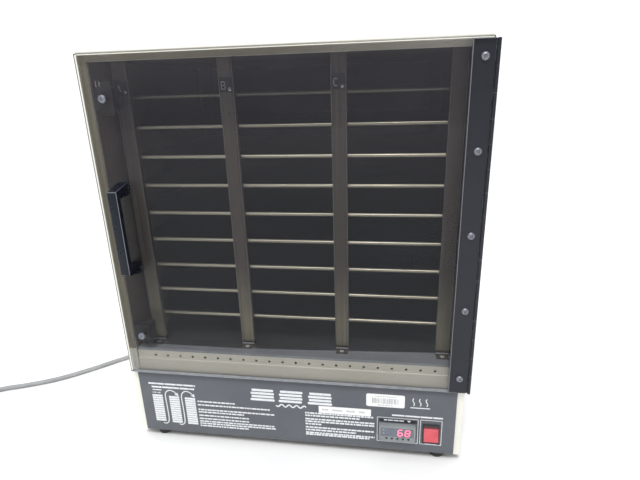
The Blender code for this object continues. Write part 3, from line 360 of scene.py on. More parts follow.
def make_finishes():
    upright, across = (1, 1, 90), (90, 1, 1)
    made = [
        cream_paint("cream_paint", (0.80, 0.79, 0.71), (0.86, 0.85, 0.78)),
        # The rail's cream is a lighter, warmer copy of the case's: its extra lightness is painted light, for
        # the light the rail catches.
        cream_paint("rail_paint", (0.86, 0.82, 0.69), (0.93, 0.89, 0.76), RAIL.top - 3.8 * MM),
        black_enamel("black_paint", (0.011, 0.013, 0.020), (0.30, 0.31, 0.33), 0.32, 0.42),
        # On the handle the paler edge colour is painted highlight, where its edges catch the light.
        black_enamel("handle_paint", (0.008, 0.011, 0.018), (0.34, 0.38, 0.46), 0.30, 0.25),
        shelf_steel("shelf_steel", 0.95),
        # Painted shade: the two top shelves' lips are dimmed, as the case's top shades them.
        shelf_steel("second_shelf_shaded_steel", 0.72),
        shelf_steel("top_shelf_shaded_steel", 0.30),
        post_steel(), seal_rubber(), liner_steel(), smoked_acrylic(), red_lens(),
        brushed("stainless", (0.20, 0.185, 0.16), (0.27, 0.25, 0.22), 0.36, upright),
        # Brighter than the posts: painted highlight on their rolled edges.
        brushed("post_bead", (0.22, 0.205, 0.19), (0.30, 0.28, 0.26), 0.5, upright),
        brushed("strike_steel", (0.050, 0.046, 0.042), (0.085, 0.078, 0.072), 0.5, across),
        brushed("dark_steel", (0.030, 0.032, 0.040), (0.048, 0.051, 0.062), 0.5, across),
        brushed("floor_steel", (0.60, 0.62, 0.60), (0.74, 0.76, 0.74), 0.42, across),
        plain("slate_paint", (0.125, 0.132, 0.15), 0.5,
              (0.05, (0.090, 0.099, 0.114), (0.106, 0.116, 0.132), 6.0),
              (0.012, 0.42, 0.58, 4.0), (0.0007, 0.00005, 3.0)),
        plain("bright_steel", (0.72, 0.72, 0.70), 0.24, (0.004, (0.60, 0.60, 0.58), (0.78, 0.78, 0.76), 5.0),
              (0.003, 0.18, 0.34, 3.0), metallic=1.0),
        plain("dull_zinc", (0.24, 0.25, 0.28), 0.42, (0.003, (0.19, 0.20, 0.23), (0.27, 0.28, 0.32), 5.0),
              (0.003, 0.34, 0.5, 3.0), metallic=0.6),
        plain("brass", (0.66, 0.57, 0.38), 0.3, (0.005, (0.56, 0.48, 0.31), (0.70, 0.62, 0.43), 4.0),
              (0.003, 0.2, 0.38, 3.0), metallic=1.0),
        plain("sawn_acrylic", (0.40, 0.42, 0.46), 0.5, (0.006, (0.34, 0.36, 0.40), (0.48, 0.50, 0.54), 5.0),
              relief=(0.0006, 0.00004, 2.0)),
        # Painted light: the light that the slab's saw cut gathers is painted as a glowing line just inside
        # the edge.
        plain("lit_edge", (0.5, 0.49, 0.42), 0.5, (0.02, (0.45, 0.44, 0.37), (0.55, 0.54, 0.47), 4.0),
              glow=((1.0, 0.99, 0.88), 0.8)),
        plain("display_window", (0.14, 0.155, 0.19), 0.25,
              (0.01, (0.125, 0.14, 0.175), (0.155, 0.172, 0.205), 4.0), (0.006, 0.12, 0.24, 3.0)),
        plain("display_digits", (0.5, 0.03, 0.05), 0.4, (0.002, (0.45, 0.02, 0.04), (0.55, 0.05, 0.07), 3.0),
              glow=((1.0, 0.15, 0.28), 2.1)),
        moulded("black_plastic", (0.016, 0.017, 0.021), (0.03, 0.032, 0.038), 0.36),
        moulded("grey_plastic", (0.20, 0.215, 0.225), (0.26, 0.275, 0.285), 0.42),
        moulded("key_plastic", (0.018, 0.018, 0.021), (0.03, 0.03, 0.034), 0.5),
        moulded("rubber", (0.016, 0.016, 0.017), (0.035, 0.034, 0.034), 0.72, 0.001, 0.00005),
        moulded("cord_grey", (0.27, 0.275, 0.285), (0.34, 0.345, 0.355), 0.5, 0.002, 0.00003),
        moulded("strap_black", (0.015, 0.015, 0.016), (0.04, 0.04, 0.042), 0.8, 0.0009, 0.0001),
        ink("print_white", (0.62, 0.64, 0.67), (0.86, 0.87, 0.88)),
        ink("print_grey", (0.34, 0.35, 0.37), (0.46, 0.47, 0.49)),
        ink("pale_print_and_highlight", (0.52, 0.53, 0.52), (0.62, 0.62, 0.61)),
        ink("black_print_and_shade", (0.012, 0.012, 0.014), (0.03, 0.03, 0.034)),
        ink("white_label_and_sheen", (0.80, 0.80, 0.79), (0.90, 0.90, 0.89)),
        ink("hinge_edge", (0.13, 0.14, 0.165), (0.22, 0.23, 0.26)),
        ink("floor_light_grey", (0.36, 0.38, 0.41), (0.46, 0.48, 0.52)),
    ]
    return {material.name.split(".")[0]: material for material in made}


# ------------------------------------------------------------------------------------ modelling
class Shape:
    """A mesh put together from blocks, rods, turned forms and flat plates."""

    def __init__(self):
        self.mesh = bmesh.new()

    def block(self, low, high, bevel=0.0):
        made = bmesh.ops.create_cube(self.mesh, size=1.0)["verts"]
        low, high = Vector(low), Vector(high)
        for vert in made:
            vert.co = Vector([(a + b) / 2 + c * (b - a) for a, b, c in zip(low, high, vert.co)])
        if bevel:
            edges = list({edge for vert in made for edge in vert.link_edges})
            bmesh.ops.bevel(self.mesh, geom=edges, offset=bevel, segments=2, profile=0.5, affect="EDGES")
        return self

    def rod(self, start, end, radius, end_radius=None, segments=24):
        start, end = Vector(start), Vector(end)
        axis = end - start
        place = Matrix.Translation((start + end) / 2) @ axis.to_track_quat("Z", "Y").to_matrix().to_4x4()
        bmesh.ops.create_cone(self.mesh, cap_ends=True, segments=segments, radius1=radius,
                              radius2=radius if end_radius is None else end_radius,
                              depth=axis.length, matrix=place)
        return self

    def turned(self, profile, place, direction=(0, 0, 1), steps=32):
        """A profile of (radius, height) points, turned about direction; both ends close on the axis."""
        spin = Vector(direction).to_track_quat("Z", "Y").to_matrix()
        rings = []
        for radius, height in profile:
            count = 1 if radius < 1e-7 else steps
            ring = []
            for i in range(count):
                angle = 2 * math.pi * i / steps
                point = Vector((radius * math.cos(angle), radius * math.sin(angle), height))
                ring.append(self.mesh.verts.new(Vector(place) + spin @ point))
            rings.append(ring)
        return self.loft(rings)

    def loft(self, rings):
        """The skin from ring to ring of vertices; a ring of one vertex closes it to a point."""
        steps = max(len(ring) for ring in rings)
        for lower, upper in zip(rings, rings[1:]):
            for i in range(steps):
                j = (i + 1) % steps
                corners = dict.fromkeys((lower[i % len(lower)], lower[j % len(lower)],
                                         upper[j % len(upper)], upper[i % len(upper)]))
                if len(corners) > 2:
                    self.mesh.faces.new(list(corners))
        return self

    def prism(self, near, far):
        """A closed solid between two outlines of the same number of points."""
        near, far = ([self.mesh.verts.new(point) for point in points] for points in (near, far))
        self.mesh.faces.new(near)
        self.mesh.faces.new(far[::-1])
        for i in range(len(near)):
            j = (i + 1) % len(near)
            self.mesh.faces.new((near[i], far[i], far[j], near[j]))
        return self

    def plate(self, outline, front, back):
        """A flat plate of an (x, z) outline between two depths."""
        return self.prism([(x, front, z) for x, z in outline], [(x, back, z) for x, z in outline])

    def rim(self, outline, inner, front, back):
        """The flat frame between two outlines of the same number of (x, z) points."""
        rings = [[self.mesh.verts.new((x, y, z)) for x, z in points]
                 for points, y in ((outline, front), (outline, back), (inner, back), (inner, front))]
        for a, b in zip(rings, rings[1:] + rings[:1]):
            for i in range(len(outline)):
                j = (i + 1) % len(outline)
                self.mesh.faces.new((a[i], b[i], b[j], a[j]))
        return self

    def piece(self, name, finish, body="cabinet", smooth=35, replaces=()):
        bmesh.ops.recalc_face_normals(self.mesh, faces=self.mesh.faces)
        data = bpy.data.meshes.new(name)
        self.mesh.to_mesh(data)
        self.mesh.free()
        made = put(name, data)
        data.shade_smooth()
        data.set_sharp_from_angle(angle=math.radians(smooth))
        return dress(made, finish, body, replaces)


def dress(made, finish, body, replaces=()):
    """Gives a piece its finish, its body and the CAD nodes it stands for."""
    made.data.materials.append(FINISHES[finish])
    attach(made, body)
    if replaces:
        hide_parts(*replaces)
    return made


def rectangle(left, right, bottom, top, radius=0.0, steps=5):
    """The (x, z) outline of a rectangle, with round corners where radius is given."""
    if not radius:
        return [(left, bottom), (right, bottom), (right, top), (left, top)]
    corners = ((right - radius, bottom + radius, -90), (right - radius, top - radius, 0),
               (left + radius, top - radius, 90), (left + radius, bottom + radius, 180))
    points = []
    for x, z, start in corners:
        for i in range(steps + 1):
            angle = math.radians(start + 90 * i / steps)
            points.append((x + radius * math.cos(angle), z + radius * math.sin(angle)))
    return points


def ribbon(points, width):
    """The (x, z) outline of a line drawn at an even width through points."""
    left, right = [], []
    for i, (x, z) in enumerate(points):
        x0, z0 = points[max(i - 1, 0)]
        x1, z1 = points[min(i + 1, len(points) - 1)]
        length = math.hypot(x1 - x0, z1 - z0)
        dx, dz = (z0 - z1) / length * width / 2, (x1 - x0) / length * width / 2
        left.append((x + dx, z + dz))
        right.append((x - dx, z - dz))
    return left + right[::-1]


def through(knots, steps=8):
    """A Catmull-Rom curve through the knots."""
    knots = [Vector(knot) for knot in knots]
    padded = [2 * knots[0] - knots[1], *knots, 2 * knots[-1] - knots[-2]]
    points = []
    for a, b, c, d in zip(padded, padded[1:], padded[2:], padded[3:]):
        for i in range(steps):
            t = i / steps
            points.append(0.5 * (2 * b + (c - a) * t + (2 * a - 5 * b + 4 * c - d) * t ** 2
                                 + (3 * b - a - 3 * c + d) * t ** 3))
    return [*points, knots[-1]]


# ---------------------------------------------------------------------------------------- cord
CORD_DIAMETER = 0.0075
CORD_LENGTH = 1.83
CORD_LOW = CORD_DIAMETER / 2 + 0.0002
GLAND = Extent("cord_gland")
CORD_EXIT = (-0.165, 0.2253, 0.048)
CORD_KNOTS = [
    CORD_EXIT,
    (-0.1655, 0.2430, 0.0465),
    (-0.1700, 0.2610, 0.0375),
    (-0.1815, 0.2755, 0.0235),
    (-0.2000, 0.2830, 0.0105),
    (-0.2220, 0.2795, CORD_LOW),
    (-0.2420, 0.2635, CORD_LOW),
    (-0.2565, 0.2370, CORD_LOW),
    (-0.2650, 0.2000, CORD_LOW),
    (-0.2720, 0.1550, CORD_LOW),
    (-0.2870, 0.1120, CORD_LOW),
    (-0.3100, 0.0820, CORD_LOW),
    (-0.3420, 0.0545, CORD_LOW),
    (-0.3780, 0.0215, CORD_LOW),
    (-0.4170, -0.0160, CORD_LOW),
    (-0.4560, -0.0470, CORD_LOW),
    (-0.4980, -0.0690, CORD_LOW),
    (-0.5350, -0.0850, CORD_LOW),
    (-0.5779, -0.1166, CORD_LOW),
]
COIL_OUTER_TURN = 0.0465      # radius of the outermost turn
COIL_ARRIVAL = math.radians(119.5)
COIL_SWEEP = math.radians(4 * 360 + 95.5)
PLUG_LEAD = 0.0296            # from the coil's outer turn to the plug's neck
PLUG_HEIGHT = 0.0107
PLUG_NECK = 0.022             # the plug's own middle to the end of its neck
BLADE_SPACING = 6.35 * MM     # from the plug's middle to each blade
CLIMB = math.radians(70)      # how far round the cord takes to rise to the second layer


def around(angle):
    """The outward direction at an angle round the coil, and the direction the cord runs there."""
    outward = Vector((math.cos(angle), math.sin(angle), 0))
    return outward, Vector((-outward.y, outward.x, 0))


def coil_centre():
    outward, _ = around(COIL_ARRIVAL)
    touch = Vector((CORD_KNOTS[-1][0], CORD_KNOTS[-1][1], 0))
    return touch - COIL_OUTER_TURN * outward


def eased(t):
    t = min(max(t, 0.0), 1.0)
    return t * t * (3 - 2 * t)


def length_of(points):
    return sum((b - a).length for a, b in zip(points, points[1:]))


def coil_points(pitch, steps=220):
    """In along the lower layer and out along the upper one, pitch closer to the middle each turn."""
    centre = coil_centre()
    points = []
    for i in range(1, steps + 1):
        swept = COIL_SWEEP * i / steps
        turns = min(swept, COIL_SWEEP - swept) / (2 * math.pi)
        outward, _ = around(COIL_ARRIVAL + swept)
        rise = eased((swept - COIL_SWEEP / 2) / CLIMB + 0.5)
        points.append(centre + (COIL_OUTER_TURN - pitch * turns) * outward
                      + Vector((0, 0, CORD_LOW + rise * CORD_DIAMETER)))
    return points


def plug_frame():
    """The plug's place and its axes: X towards the blades, Z up."""
    outward, heading = around(COIL_ARRIVAL + COIL_SWEEP)
    place = coil_centre() + COIL_OUTER_TURN * outward + (PLUG_LEAD + PLUG_NECK) * heading
    place.z = PLUG_HEIGHT
    return Matrix.Translation(place) @ heading.to_track_quat("X", "Z").to_matrix().to_4x4()


def cord_path():
    """The whole centreline; the coil's pitch is set so that it has the cord's real length."""
    route = through(CORD_KNOTS)
    route = [Vector((p.x, p.y, max(p.z, CORD_LOW))) for p in route]
    neck = plug_frame() @ Vector((-0.0215, 0, 0))
    low, high = 0.004, 0.010
    for _ in range(40):
        pitch = (low + high) / 2
        coil = coil_points(pitch)
        lead = [coil[-1].lerp(neck, t) for t in (0.33, 0.66, 1.0)]
        path = [*route, *coil, *lead]
        if length_of(path) > CORD_LENGTH:
            low = pitch
        else:
            high = pitch
    return path


def make_cord():
    path = cord_path()
    data = bpy.data.curves.new("mains_lead", "CURVE")
    data.dimensions = "3D"
    data.bevel_depth = CORD_DIAMETER / 2
    data.bevel_resolution = 4
    data.use_fill_caps = True
    spline = data.splines.new("POLY")
    spline.points.add(len(path) - 1)
    for point, place in zip(spline.points, path):
        point.co = (*place, 1.0)
    spline.use_smooth = True
    lead = put("mains_lead", data)
    dress(lead, "cord_grey", "cabinet", ("power_cord", "cord_coil"))
    make_plug()
    make_blades()
    make_gland()
    make_tie()


def make_plug():
    """The plug's body: a tapered ribbed neck and a waisted grip."""
    frame_of_plug = plug_frame()
    shape = Shape()
    sections = [(-0.0220, 0.0050, 0.0050), (-0.0205, 0.0055, 0.0055)]
    for i in range(5):
        start = -0.0190 + 0.0036 * i
        wide = 0.0054 + 0.0005 * i
        for forward, wider in ((0, 0), (0.0022, 0.0002), (0.0024, -0.0011), (0.0034, -0.0011)):
            sections.append((start + forward, wide + wider, wide + wider))
    sections += [(0.0000, 0.0085, 0.0082), (0.0020, 0.0112, 0.0098), (0.0050, 0.0122, 0.0104),
                 (0.0110, 0.0117, 0.0098), (0.0180, 0.0112, 0.0094), (0.0250, 0.0118, 0.0099),
                 (0.0290, 0.0125, 0.0105), (0.0312, 0.0125, 0.0105), (0.0320, 0.0118, 0.0098)]
    steps = 40
    rings = []
    for x, half_y, half_z in sections:
        power = 2.0 if x < 0 else 3.2
        ring = []
        for i in range(steps):
            angle = 2 * math.pi * i / steps
            c, s = math.cos(angle), math.sin(angle)
            y = half_y * math.copysign(abs(c) ** (2 / power), c)
            z = half_z * math.copysign(abs(s) ** (2 / power), s)
            ring.append(shape.mesh.verts.new(frame_of_plug @ Vector((x, y, z))))
        rings.append(ring)
    shape.loft(rings)
    shape.mesh.faces.new(rings[0])
    shape.mesh.faces.new(rings[-1])
    return shape.piece("plug_body", "cord_grey", replaces=("plug",))


def make_blades():
    """Two flat blades with their holes' dimples, and the round earth pin."""
    shape = Shape()
    for y in (-BLADE_SPACING, BLADE_SPACING):
        shape.block((0.030, y - 0.75 * MM, -0.0012), (0.050, y + 0.75 * MM, 0.0052), 0.3 * MM)
        shape.rod((0.0445, y - 0.8 * MM, 0.0020), (0.0445, y + 0.8 * MM, 0.0020), 1.6 * MM)
    shape.turned([(0, 0), (0.0023, 0), (0.0023, 0.0195), (0.0018, 0.0212), (0.0009, 0.0219), (0, 0.0220)],
                 (0.030, 0, -0.0065), (1, 0, 0), steps=20)
    bmesh.ops.transform(shape.mesh, matrix=plug_frame(), verts=shape.mesh.verts)
    return shape.piece("plug_blades", "brass")


def make_gland():
    """The strain relief: a flange against the panel and a tapered sleeve cut by relief grooves."""
    base = GLAND.front + 0.006
    length = GLAND.back - base
    tip = CORD_DIAMETER / 2 + 0.0008
    profile = [(0, -0.006), (0.0088, -0.006), (0.0088, 0.0003), (0.0112, 0.0003), (0.0120, 0.0010),
               (0.0120, 0.0028), (0.0112, 0.0036), (0.0087, 0.0044)]
    rings = 8
    for i in range(rings):
        start = 0.0055 + i * (length - 0.009) / rings
        wide = 0.0085 + (tip - 0.0085) * i / rings
        profile += [(wide, start), (wide - 0.0002, start + 0.0022),
                    (wide - 0.0014, start + 0.0024), (wide - 0.0015, start + 0.0034)]
    profile += [(tip, length - 0.003), (tip - 0.0002, length - 0.0003), (tip - 0.0006, length), (0, length)]
    return Shape().turned(profile, (GLAND.centre.x, base, GLAND.centre.z), (0, 1, 0)).piece(
        "gland_sleeve", "cord_grey", replaces=("cord_gland",))


def make_tie():
    """A hook-and-loop strap round the coil's bundle of turns."""
    centre = coil_centre()
    outward, heading = around(math.radians(20))
    inner, outer = 0.0262, COIL_OUTER_TURN + CORD_DIAMETER / 2
    low, high = 0.0008, CORD_LOW + 1.5 * CORD_DIAMETER
    loop = rectangle(inner - 0.0004, outer + 0.0004, low, high + 0.0004, radius=0.0035)
    skin = rectangle(inner - 0.0011, outer + 0.0011, 0.0001, high + 0.0011, radius=0.0042)
    shape = Shape().rim(skin, loop, -0.0055, 0.0055)
    middle = (inner + outer) / 2
    shape.block((middle - 0.009, -0.0055, high + 0.0011), (middle + 0.006, 0.0055, high + 0.0018), 0.0002)
    axes = Matrix((outward, heading, (0, 0, 1))).transposed().to_4x4()
    bmesh.ops.transform(shape.mesh, matrix=Matrix.Translation(centre) @ axes, verts=shape.mesh.verts)
    return shape.piece("cord_tie", "strap_black")


# ------------------------------------------------------------------------------- CAD as it stands
# By the start of a node's name, the first that fits; any other node keeps its slot's finish.
NODE_FINISH = {
    "shelf_8": "second_shelf_shaded_steel",
    "shelf_9": "top_shelf_shaded_steel",
    "shelf": "shelf_steel",
    "post": "post_steel",
    "controller_key": "key_plastic",
    "controller_window": "display_window",
    "liner": "liner_steel",
    "floor_pan": "floor_steel",
    "rack_base": "floor_steel",
    "front_rail": "rail_paint",
    "handle": "handle_paint",
    "hinge_pin": "black_paint",
    "door_strike": "strike_steel",
    "rear_rail": "dark_steel",
    "temperature_probe": "dark_steel",
}


def refine(node, bevel):
    """Smooth shading by angle, and softened edges, as modifiers on a CAD node."""
    weld = node.modifiers.new("weld", "WELD")
    weld.merge_threshold = 1e-6
    if bevel:
        edges = node.modifiers.new("soft_edges", "BEVEL")
        edges.width = bevel
        edges.segments = 2
        edges.limit_method = "ANGLE"
        edges.angle_limit = math.radians(50)
        edges.harden_normals = False
    node.data.shade_smooth()
    creases = node.modifiers.new("creases", "EDGE_SPLIT")
    creases.split_angle = math.radians(33)


SOFT_EDGES = {"outer_shell": 0.5 * MM, "fascia_panel": 0.3 * MM}


def dress_nodes():
    for name, node in NODES.items():
        slot = node.data.materials[0].name.split(".")[0]
        finish = next((NODE_FINISH[start] for start in NODE_FINISH if name.startswith(start)), slot)
        for material_slot in node.material_slots:
            material_slot.material = FINISHES[finish]
        refine(node, SOFT_EDGES.get(name))


# ------------------------------------------------------------------------------------------ door
def screw(heads, crosses, place, facing, dome, cross, steps=28):
    """A domed head, and its driver's cross as a dark block, painted shade for the recess: half its length and
    width, and where it starts and ends.
    """
    place, facing = Vector(place), Vector(facing)
    heads.turned(dome, place, facing, steps=steps)
    length, width, start, end = cross
    axes = [axis for axis in Matrix.Identity(3) if not axis.dot(facing)]
    for along, across in (axes, axes[::-1]):
        half = length * along + width * across
        crosses.block(place + start * facing - half, place + end * facing + half)


def build_door_edges():
    """The slab's sawn edges, frosted and bright, and a glowing line of painted light just inside them."""
    outer, inner = (rectangle(DOOR.left - skin, DOOR.right + skin, DOOR.bottom - skin, DOOR.top + skin)
                    for skin in (0.25 * MM, -0.02 * MM))
    Shape().rim(outer, inner, DOOR.front + 0.15 * MM, DOOR.back - 0.15 * MM).piece(
        "door_sawn_edges", "sawn_acrylic", "door")
    glow = Shape()
    depth = DOOR.front + 0.3 * MM, DOOR.front + 0.6 * MM
    corner = DOOR.left + 2.7 * MM
    glow.plate(rectangle(DOOR.left + 0.9 * MM, corner, DOOR.bottom + 2 * MM, DOOR.top - 1 * MM), *depth)
    glow.plate(rectangle(corner, DOOR.right - 1 * MM, DOOR.top - 1.5 * MM, DOOR.top - 0.6 * MM), *depth)
    glow.piece("door_lit_edge", "lit_edge", "door")


def build_hinge_screws():
    """Button heads with a polished rim and a dark socket, over the CAD screws' heads."""
    rims, sockets = Shape(), Shape()
    for i in range(1, 6):
        screw = Extent(f"hinge_screw_{i}")
        x, z, back = screw.centre.x, screw.centre.z, screw.front + 0.0024
        profile = [(0.0014, 0.0010), (0.0014, 0.0023), (0.0022, 0.00255), (0.0033, 0.0022),
                   (0.0041, 0.0013), (0.0044, 0.0002), (0.0044, 0), (0.0014, 0), (0.0014, 0.0010)]
        rims.turned(profile, (x, back, z), (0, -1, 0))
        # Painted shade: a dark grey disc stands for each socket's hollow.
        sockets.rod((x, back, z), (x, back - 0.0018, z), 0.0016, segments=6)
    rims.piece("hinge_screw_heads", "dull_zinc", "door")
    sockets.piece("hinge_screw_sockets", "grey_plastic", "door")


def build_hinge_bushings():
    """Thin dark bushings between the hinge's knuckles, and lighter lines along the leaf's left edge and its
    top.
    """
    leaf = Extent("hinge_door_leaf")
    knuckles, gap = 16, 0.3 * MM
    radius = leaf.right - HINGE_AXIS.x
    bushings = Shape()
    for i in range(1, knuckles):
        z = leaf.bottom + leaf.height * i / knuckles
        bushings.rod((HINGE_AXIS.x, HINGE_AXIS.y, z - gap / 2), (HINGE_AXIS.x, HINGE_AXIS.y, z + gap / 2),
                     radius - 0.1 * MM, segments=20)
    bushings.piece("hinge_bushings", "black_paint")
    edge = Shape().block((leaf.left - 0.3 * MM, leaf.front - 0.1 * MM, leaf.bottom),
                         (leaf.left + 0.3 * MM, DOOR.front - 0.1 * MM, leaf.top))
    edge.block((leaf.left - 0.3 * MM, leaf.front - 0.1 * MM, leaf.top - 0.5 * MM),
               (SHELL.right - 1 * MM, DOOR.front - 0.1 * MM, leaf.top + 0.1 * MM))
    edge.piece("hinge_leaf_edge", "hinge_edge", "door")


def build_hinge_side_screws():
    """Flat heads through the hinge's leaf on the case's side."""
    leaf = Extent("hinge_body_leaf")
    heads, crosses = Shape(), Shape()
    y = leaf.front + 0.0035 + (leaf.back - leaf.front) / 2
    for i in range(1, 6):
        z = Extent(f"hinge_screw_{i}").centre.z
        dome = [(0, 0), (0.0033, 0), (0.0033, 0.0002), (0.0026, 0.0006), (0, 0.0008)]
        screw(heads, crosses, (CASE_SIDE, y, z), (1, 0, 0), dome, (0.0015, 0.00035, 0.0006, 0.00085), 24)
    heads.piece("hinge_side_screws", "dull_zinc")
    crosses.piece("hinge_side_recesses", "black_print_and_shade")


def build_strike_fixings():
    """Polished domes over the strikes' screws, and the small bright clip by the upper one."""
    domes, centres, clip = Shape(), Shape(), Shape()
    for name, height in STRIKE_SCREWS.items():
        profile = [(0, 0), (0.0048, 0), (0.0048, 0.0010), (0.0044, 0.0020), (0.0031, 0.0028),
                   (0.0013, 0.0031), (0, 0.0031)]
        x, z = Extent(name).centre.x, DOOR.bottom + height
        domes.turned(profile, (x, DOOR.front - 0.05 * MM, z), (0, -1, 0))
        # Painted shade: a dark disc on each dome's top stands for its socket's hollow.
        centres.rod((x, DOOR.front - 0.0025, z), (x, DOOR.front - 0.0033, z), 0.0021)
    top = Extent("door_strike_top")
    for x in (top.left - 1.8 * MM, top.left + 2.6 * MM):
        clip.block((x, DOOR.back + 0.2 * MM, top.top - 6 * MM),
                   (x + 1.2 * MM, DOOR.back + 1.2 * MM, top.top + 1.2 * MM), 0.2 * MM)
    domes.piece("strike_domes", "dull_zinc", "door")
    centres.piece("strike_sockets", "slate_paint", "door")
    clip.piece("strike_clip", "bright_steel", "door")


def build_handle_fixings():
    """Pale strips along the handle's edges as painted highlight, and the washers and nuts behind the door
    where it's bolted through.
    """
    handle = Extent("handle")
    slope, skin = 6.6 * MM, 0.15 * MM       # how far the legs widen towards the door
    # Painted highlight: pale strips and a thin rod along the handle's edges, where light catches them.
    edges = Shape()
    edges.block((handle.right - 0.5 * MM, handle.front - skin, handle.bottom + slope + 1 * MM),
                (handle.right + skin, handle.front + 0.5 * MM, handle.top - slope - 1 * MM))
    edges.block((handle.left + 0.8 * MM, handle.front + 0.1 * MM, handle.top - slope - 0.9 * MM),
                (handle.right - 0.5 * MM, handle.front + 0.9 * MM, handle.top - slope - 0.1 * MM))
    leg = Vector((0, DOOR.front - handle.front - 2 * MM, slope * 0.93))
    start = Vector((handle.right - 0.35 * MM, handle.front + 1 * MM, handle.top - slope - 0.1 * MM))
    edges.rod(start, start + leg, 0.35 * MM, segments=8)
    edges.piece("handle_painted_highlights", "dull_zinc", "door")
    washers, nuts = Shape(), Shape()
    for z in (handle.bottom + 0.008, handle.top - 0.008):
        x, back = handle.centre.x, DOOR.back
        washers.turned([(0, 0), (0.0045, 0), (0.0045, 0.0005), (0.0040, 0.0007), (0, 0.0007)],
                       (x, back + 0.00005, z), (0, 1, 0))
        nuts.rod((x, back + 0.0007, z), (x, back + 0.0017, z), 0.0032, 0.0028, segments=6)
    washers.piece("handle_washers", "bright_steel", "door")
    nuts.piece("handle_nuts", "bright_steel", "door")


def build_door_seal():
    """The flat seal on the case's flange, along both sides and the top of the opening."""
    left, right = SHELL.left + 1.3 * MM, SHELL.right - 1.3 * MM
    bottom, top = RAIL.top + 0.6 * MM, SHELL.top - 1.4 * MM
    side_width, top_width = 10.9 * MM, 9.8 * MM
    outline = [(left, bottom), (left + side_width, bottom), (left + side_width, top - top_width),
               (right - side_width, top - top_width), (right - side_width, bottom),
               (right, bottom), (right, top), (left, top)]
    Shape().plate(outline, SHELL.front - 1 * MM, SHELL.front - 0.05 * MM).piece("door_seal", "seal_rubber")


# ---------------------------------------------------------------------------------------- fascia
PRINT = (FASCIA.front - 0.06 * MM, FASCIA.front + 0.02 * MM)       # a layer's front and back
STICKER = (FASCIA.front - 0.18 * MM, FASCIA.front + 0.02 * MM)
ON_STICKER = (FASCIA.front - 0.23 * MM, FASCIA.front - 0.16 * MM)
ON_PRINT = (FASCIA.front - 0.12 * MM, FASCIA.front - 0.04 * MM)


def at_fascia(u, v):
    """The (x, z) place u to the right of and v below the fascia's top left corner, in millimetres."""
    return FASCIA.left + u * MM, FASCIA.top - v * MM


def print_plate(shape, u0, u1, v0, v1, radius=0.0, layer=PRINT):
    left, top = at_fascia(u0, v0)
    right, bottom = at_fascia(u1, v1)
    shape.plate(rectangle(left, right, bottom, top, radius * MM), *layer)


def print_outline(shape, u0, u1, v0, v1):
    left, top = at_fascia(u0, v0)
    right, bottom = at_fascia(u1, v1)
    width = 0.75 * MM
    shape.rim(rectangle(left, right, bottom, top, 1.2 * MM),
              rectangle(left + width, right - width, bottom + width, top - width, 0.6 * MM), *PRINT)


def print_line(shape, points, width):
    """A printed line through (u, v) points in millimetres."""
    shape.plate(ribbon([at_fascia(u, v) for u, v in points], width * MM), *PRINT)


def print_shape(shape, points, layer=PRINT):
    """A printed area with its corners at (u, v) points in millimetres."""
    shape.plate([at_fascia(u, v) for u, v in points], *layer)


def print_words(shape, seed, u, v, width, height, words=(2.0, 7.5)):
    """A line of text as plain dashes, one for each word."""
    draw = random.Random(seed)
    end = u + width
    while u < end - 0.8:
        length = min(draw.uniform(*words), end - u)
        print_plate(shape, u, u + length, v - height / 2, v + height / 2)
        u += length + 0.85


def build_text_blocks():
    shape = Shape()
    left_lines = ((46.8, 55), (52.6, 105), (60.4, 111), (64.6, 67), (70.4, 74),
                  (75.8, 74), (80.4, 111), (84.2, 112), (88.2, 72))
    right_lines = ((52.2, 93), (56.4, 75), (62.0, 96), (66.0, 95), (70.3, 22),
                   (75.7, 94), (80.1, 70), (84.8, 95), (87.8, 88))
    for i, (v, width) in enumerate(left_lines):
        print_words(shape, 100 + i, 84.3, v, width, 2.3)
    for i, (v, width) in enumerate(right_lines):
        print_words(shape, 200 + i, 239.3, v, width, 2.5)
    shape.piece("fascia_instructions", "print_white")


def build_sequence_diagram():
    """Three stacks of packs, and the arrows from the foot of one to the top of the next."""
    shape = Shape()
    print_words(shape, 7, 13.6, 21.6, 70, 2.7, words=(9, 20))
    print_words(shape, 8, 17.6, 27.2, 64, 2.7, words=(12, 26))
    print_words(shape, 9, 18.4, 32.0, 13.5, 1.8, words=(13, 14))
    packs, pitch = 12, 3.85
    for left, top in ((16.8, 40.0), (41.8, 41.2), (65.6, 41.8)):
        for i in range(packs):
            v = top + i * pitch
            print_plate(shape, left, left + 15.5, v, v + pitch * 0.84, 0.5)
    for u in (17.5, 24.0):
        print_line(shape, ((u, 36.6), (u + 4.5, 36.6)), 0.9)
        print_shape(shape, ((u + 6.4, 36.6), (u + 4.0, 35.2), (u + 4.0, 38.0)))
    for shift in (0, 24.4):
        knots = ((27.6, 88.6), (31.5, 89.6), (35.8, 86.0), (37.0, 78.0), (36.8, 58.0), (36.6, 41.0),
                 (39.0, 34.4), (44.4, 31.6), (50.4, 33.6), (53.6, 37.0))
        curve = through([(u + shift, v, 0) for u, v in knots], 6)
        print_line(shape, [(p.x, p.y) for p in curve], 1.5)
        print_shape(shape, [(u + shift, v) for u, v in ((56.8, 40.6), (55.6, 34.8), (50.6, 38.6))])
    shape.piece("sequence_diagram", "print_white")


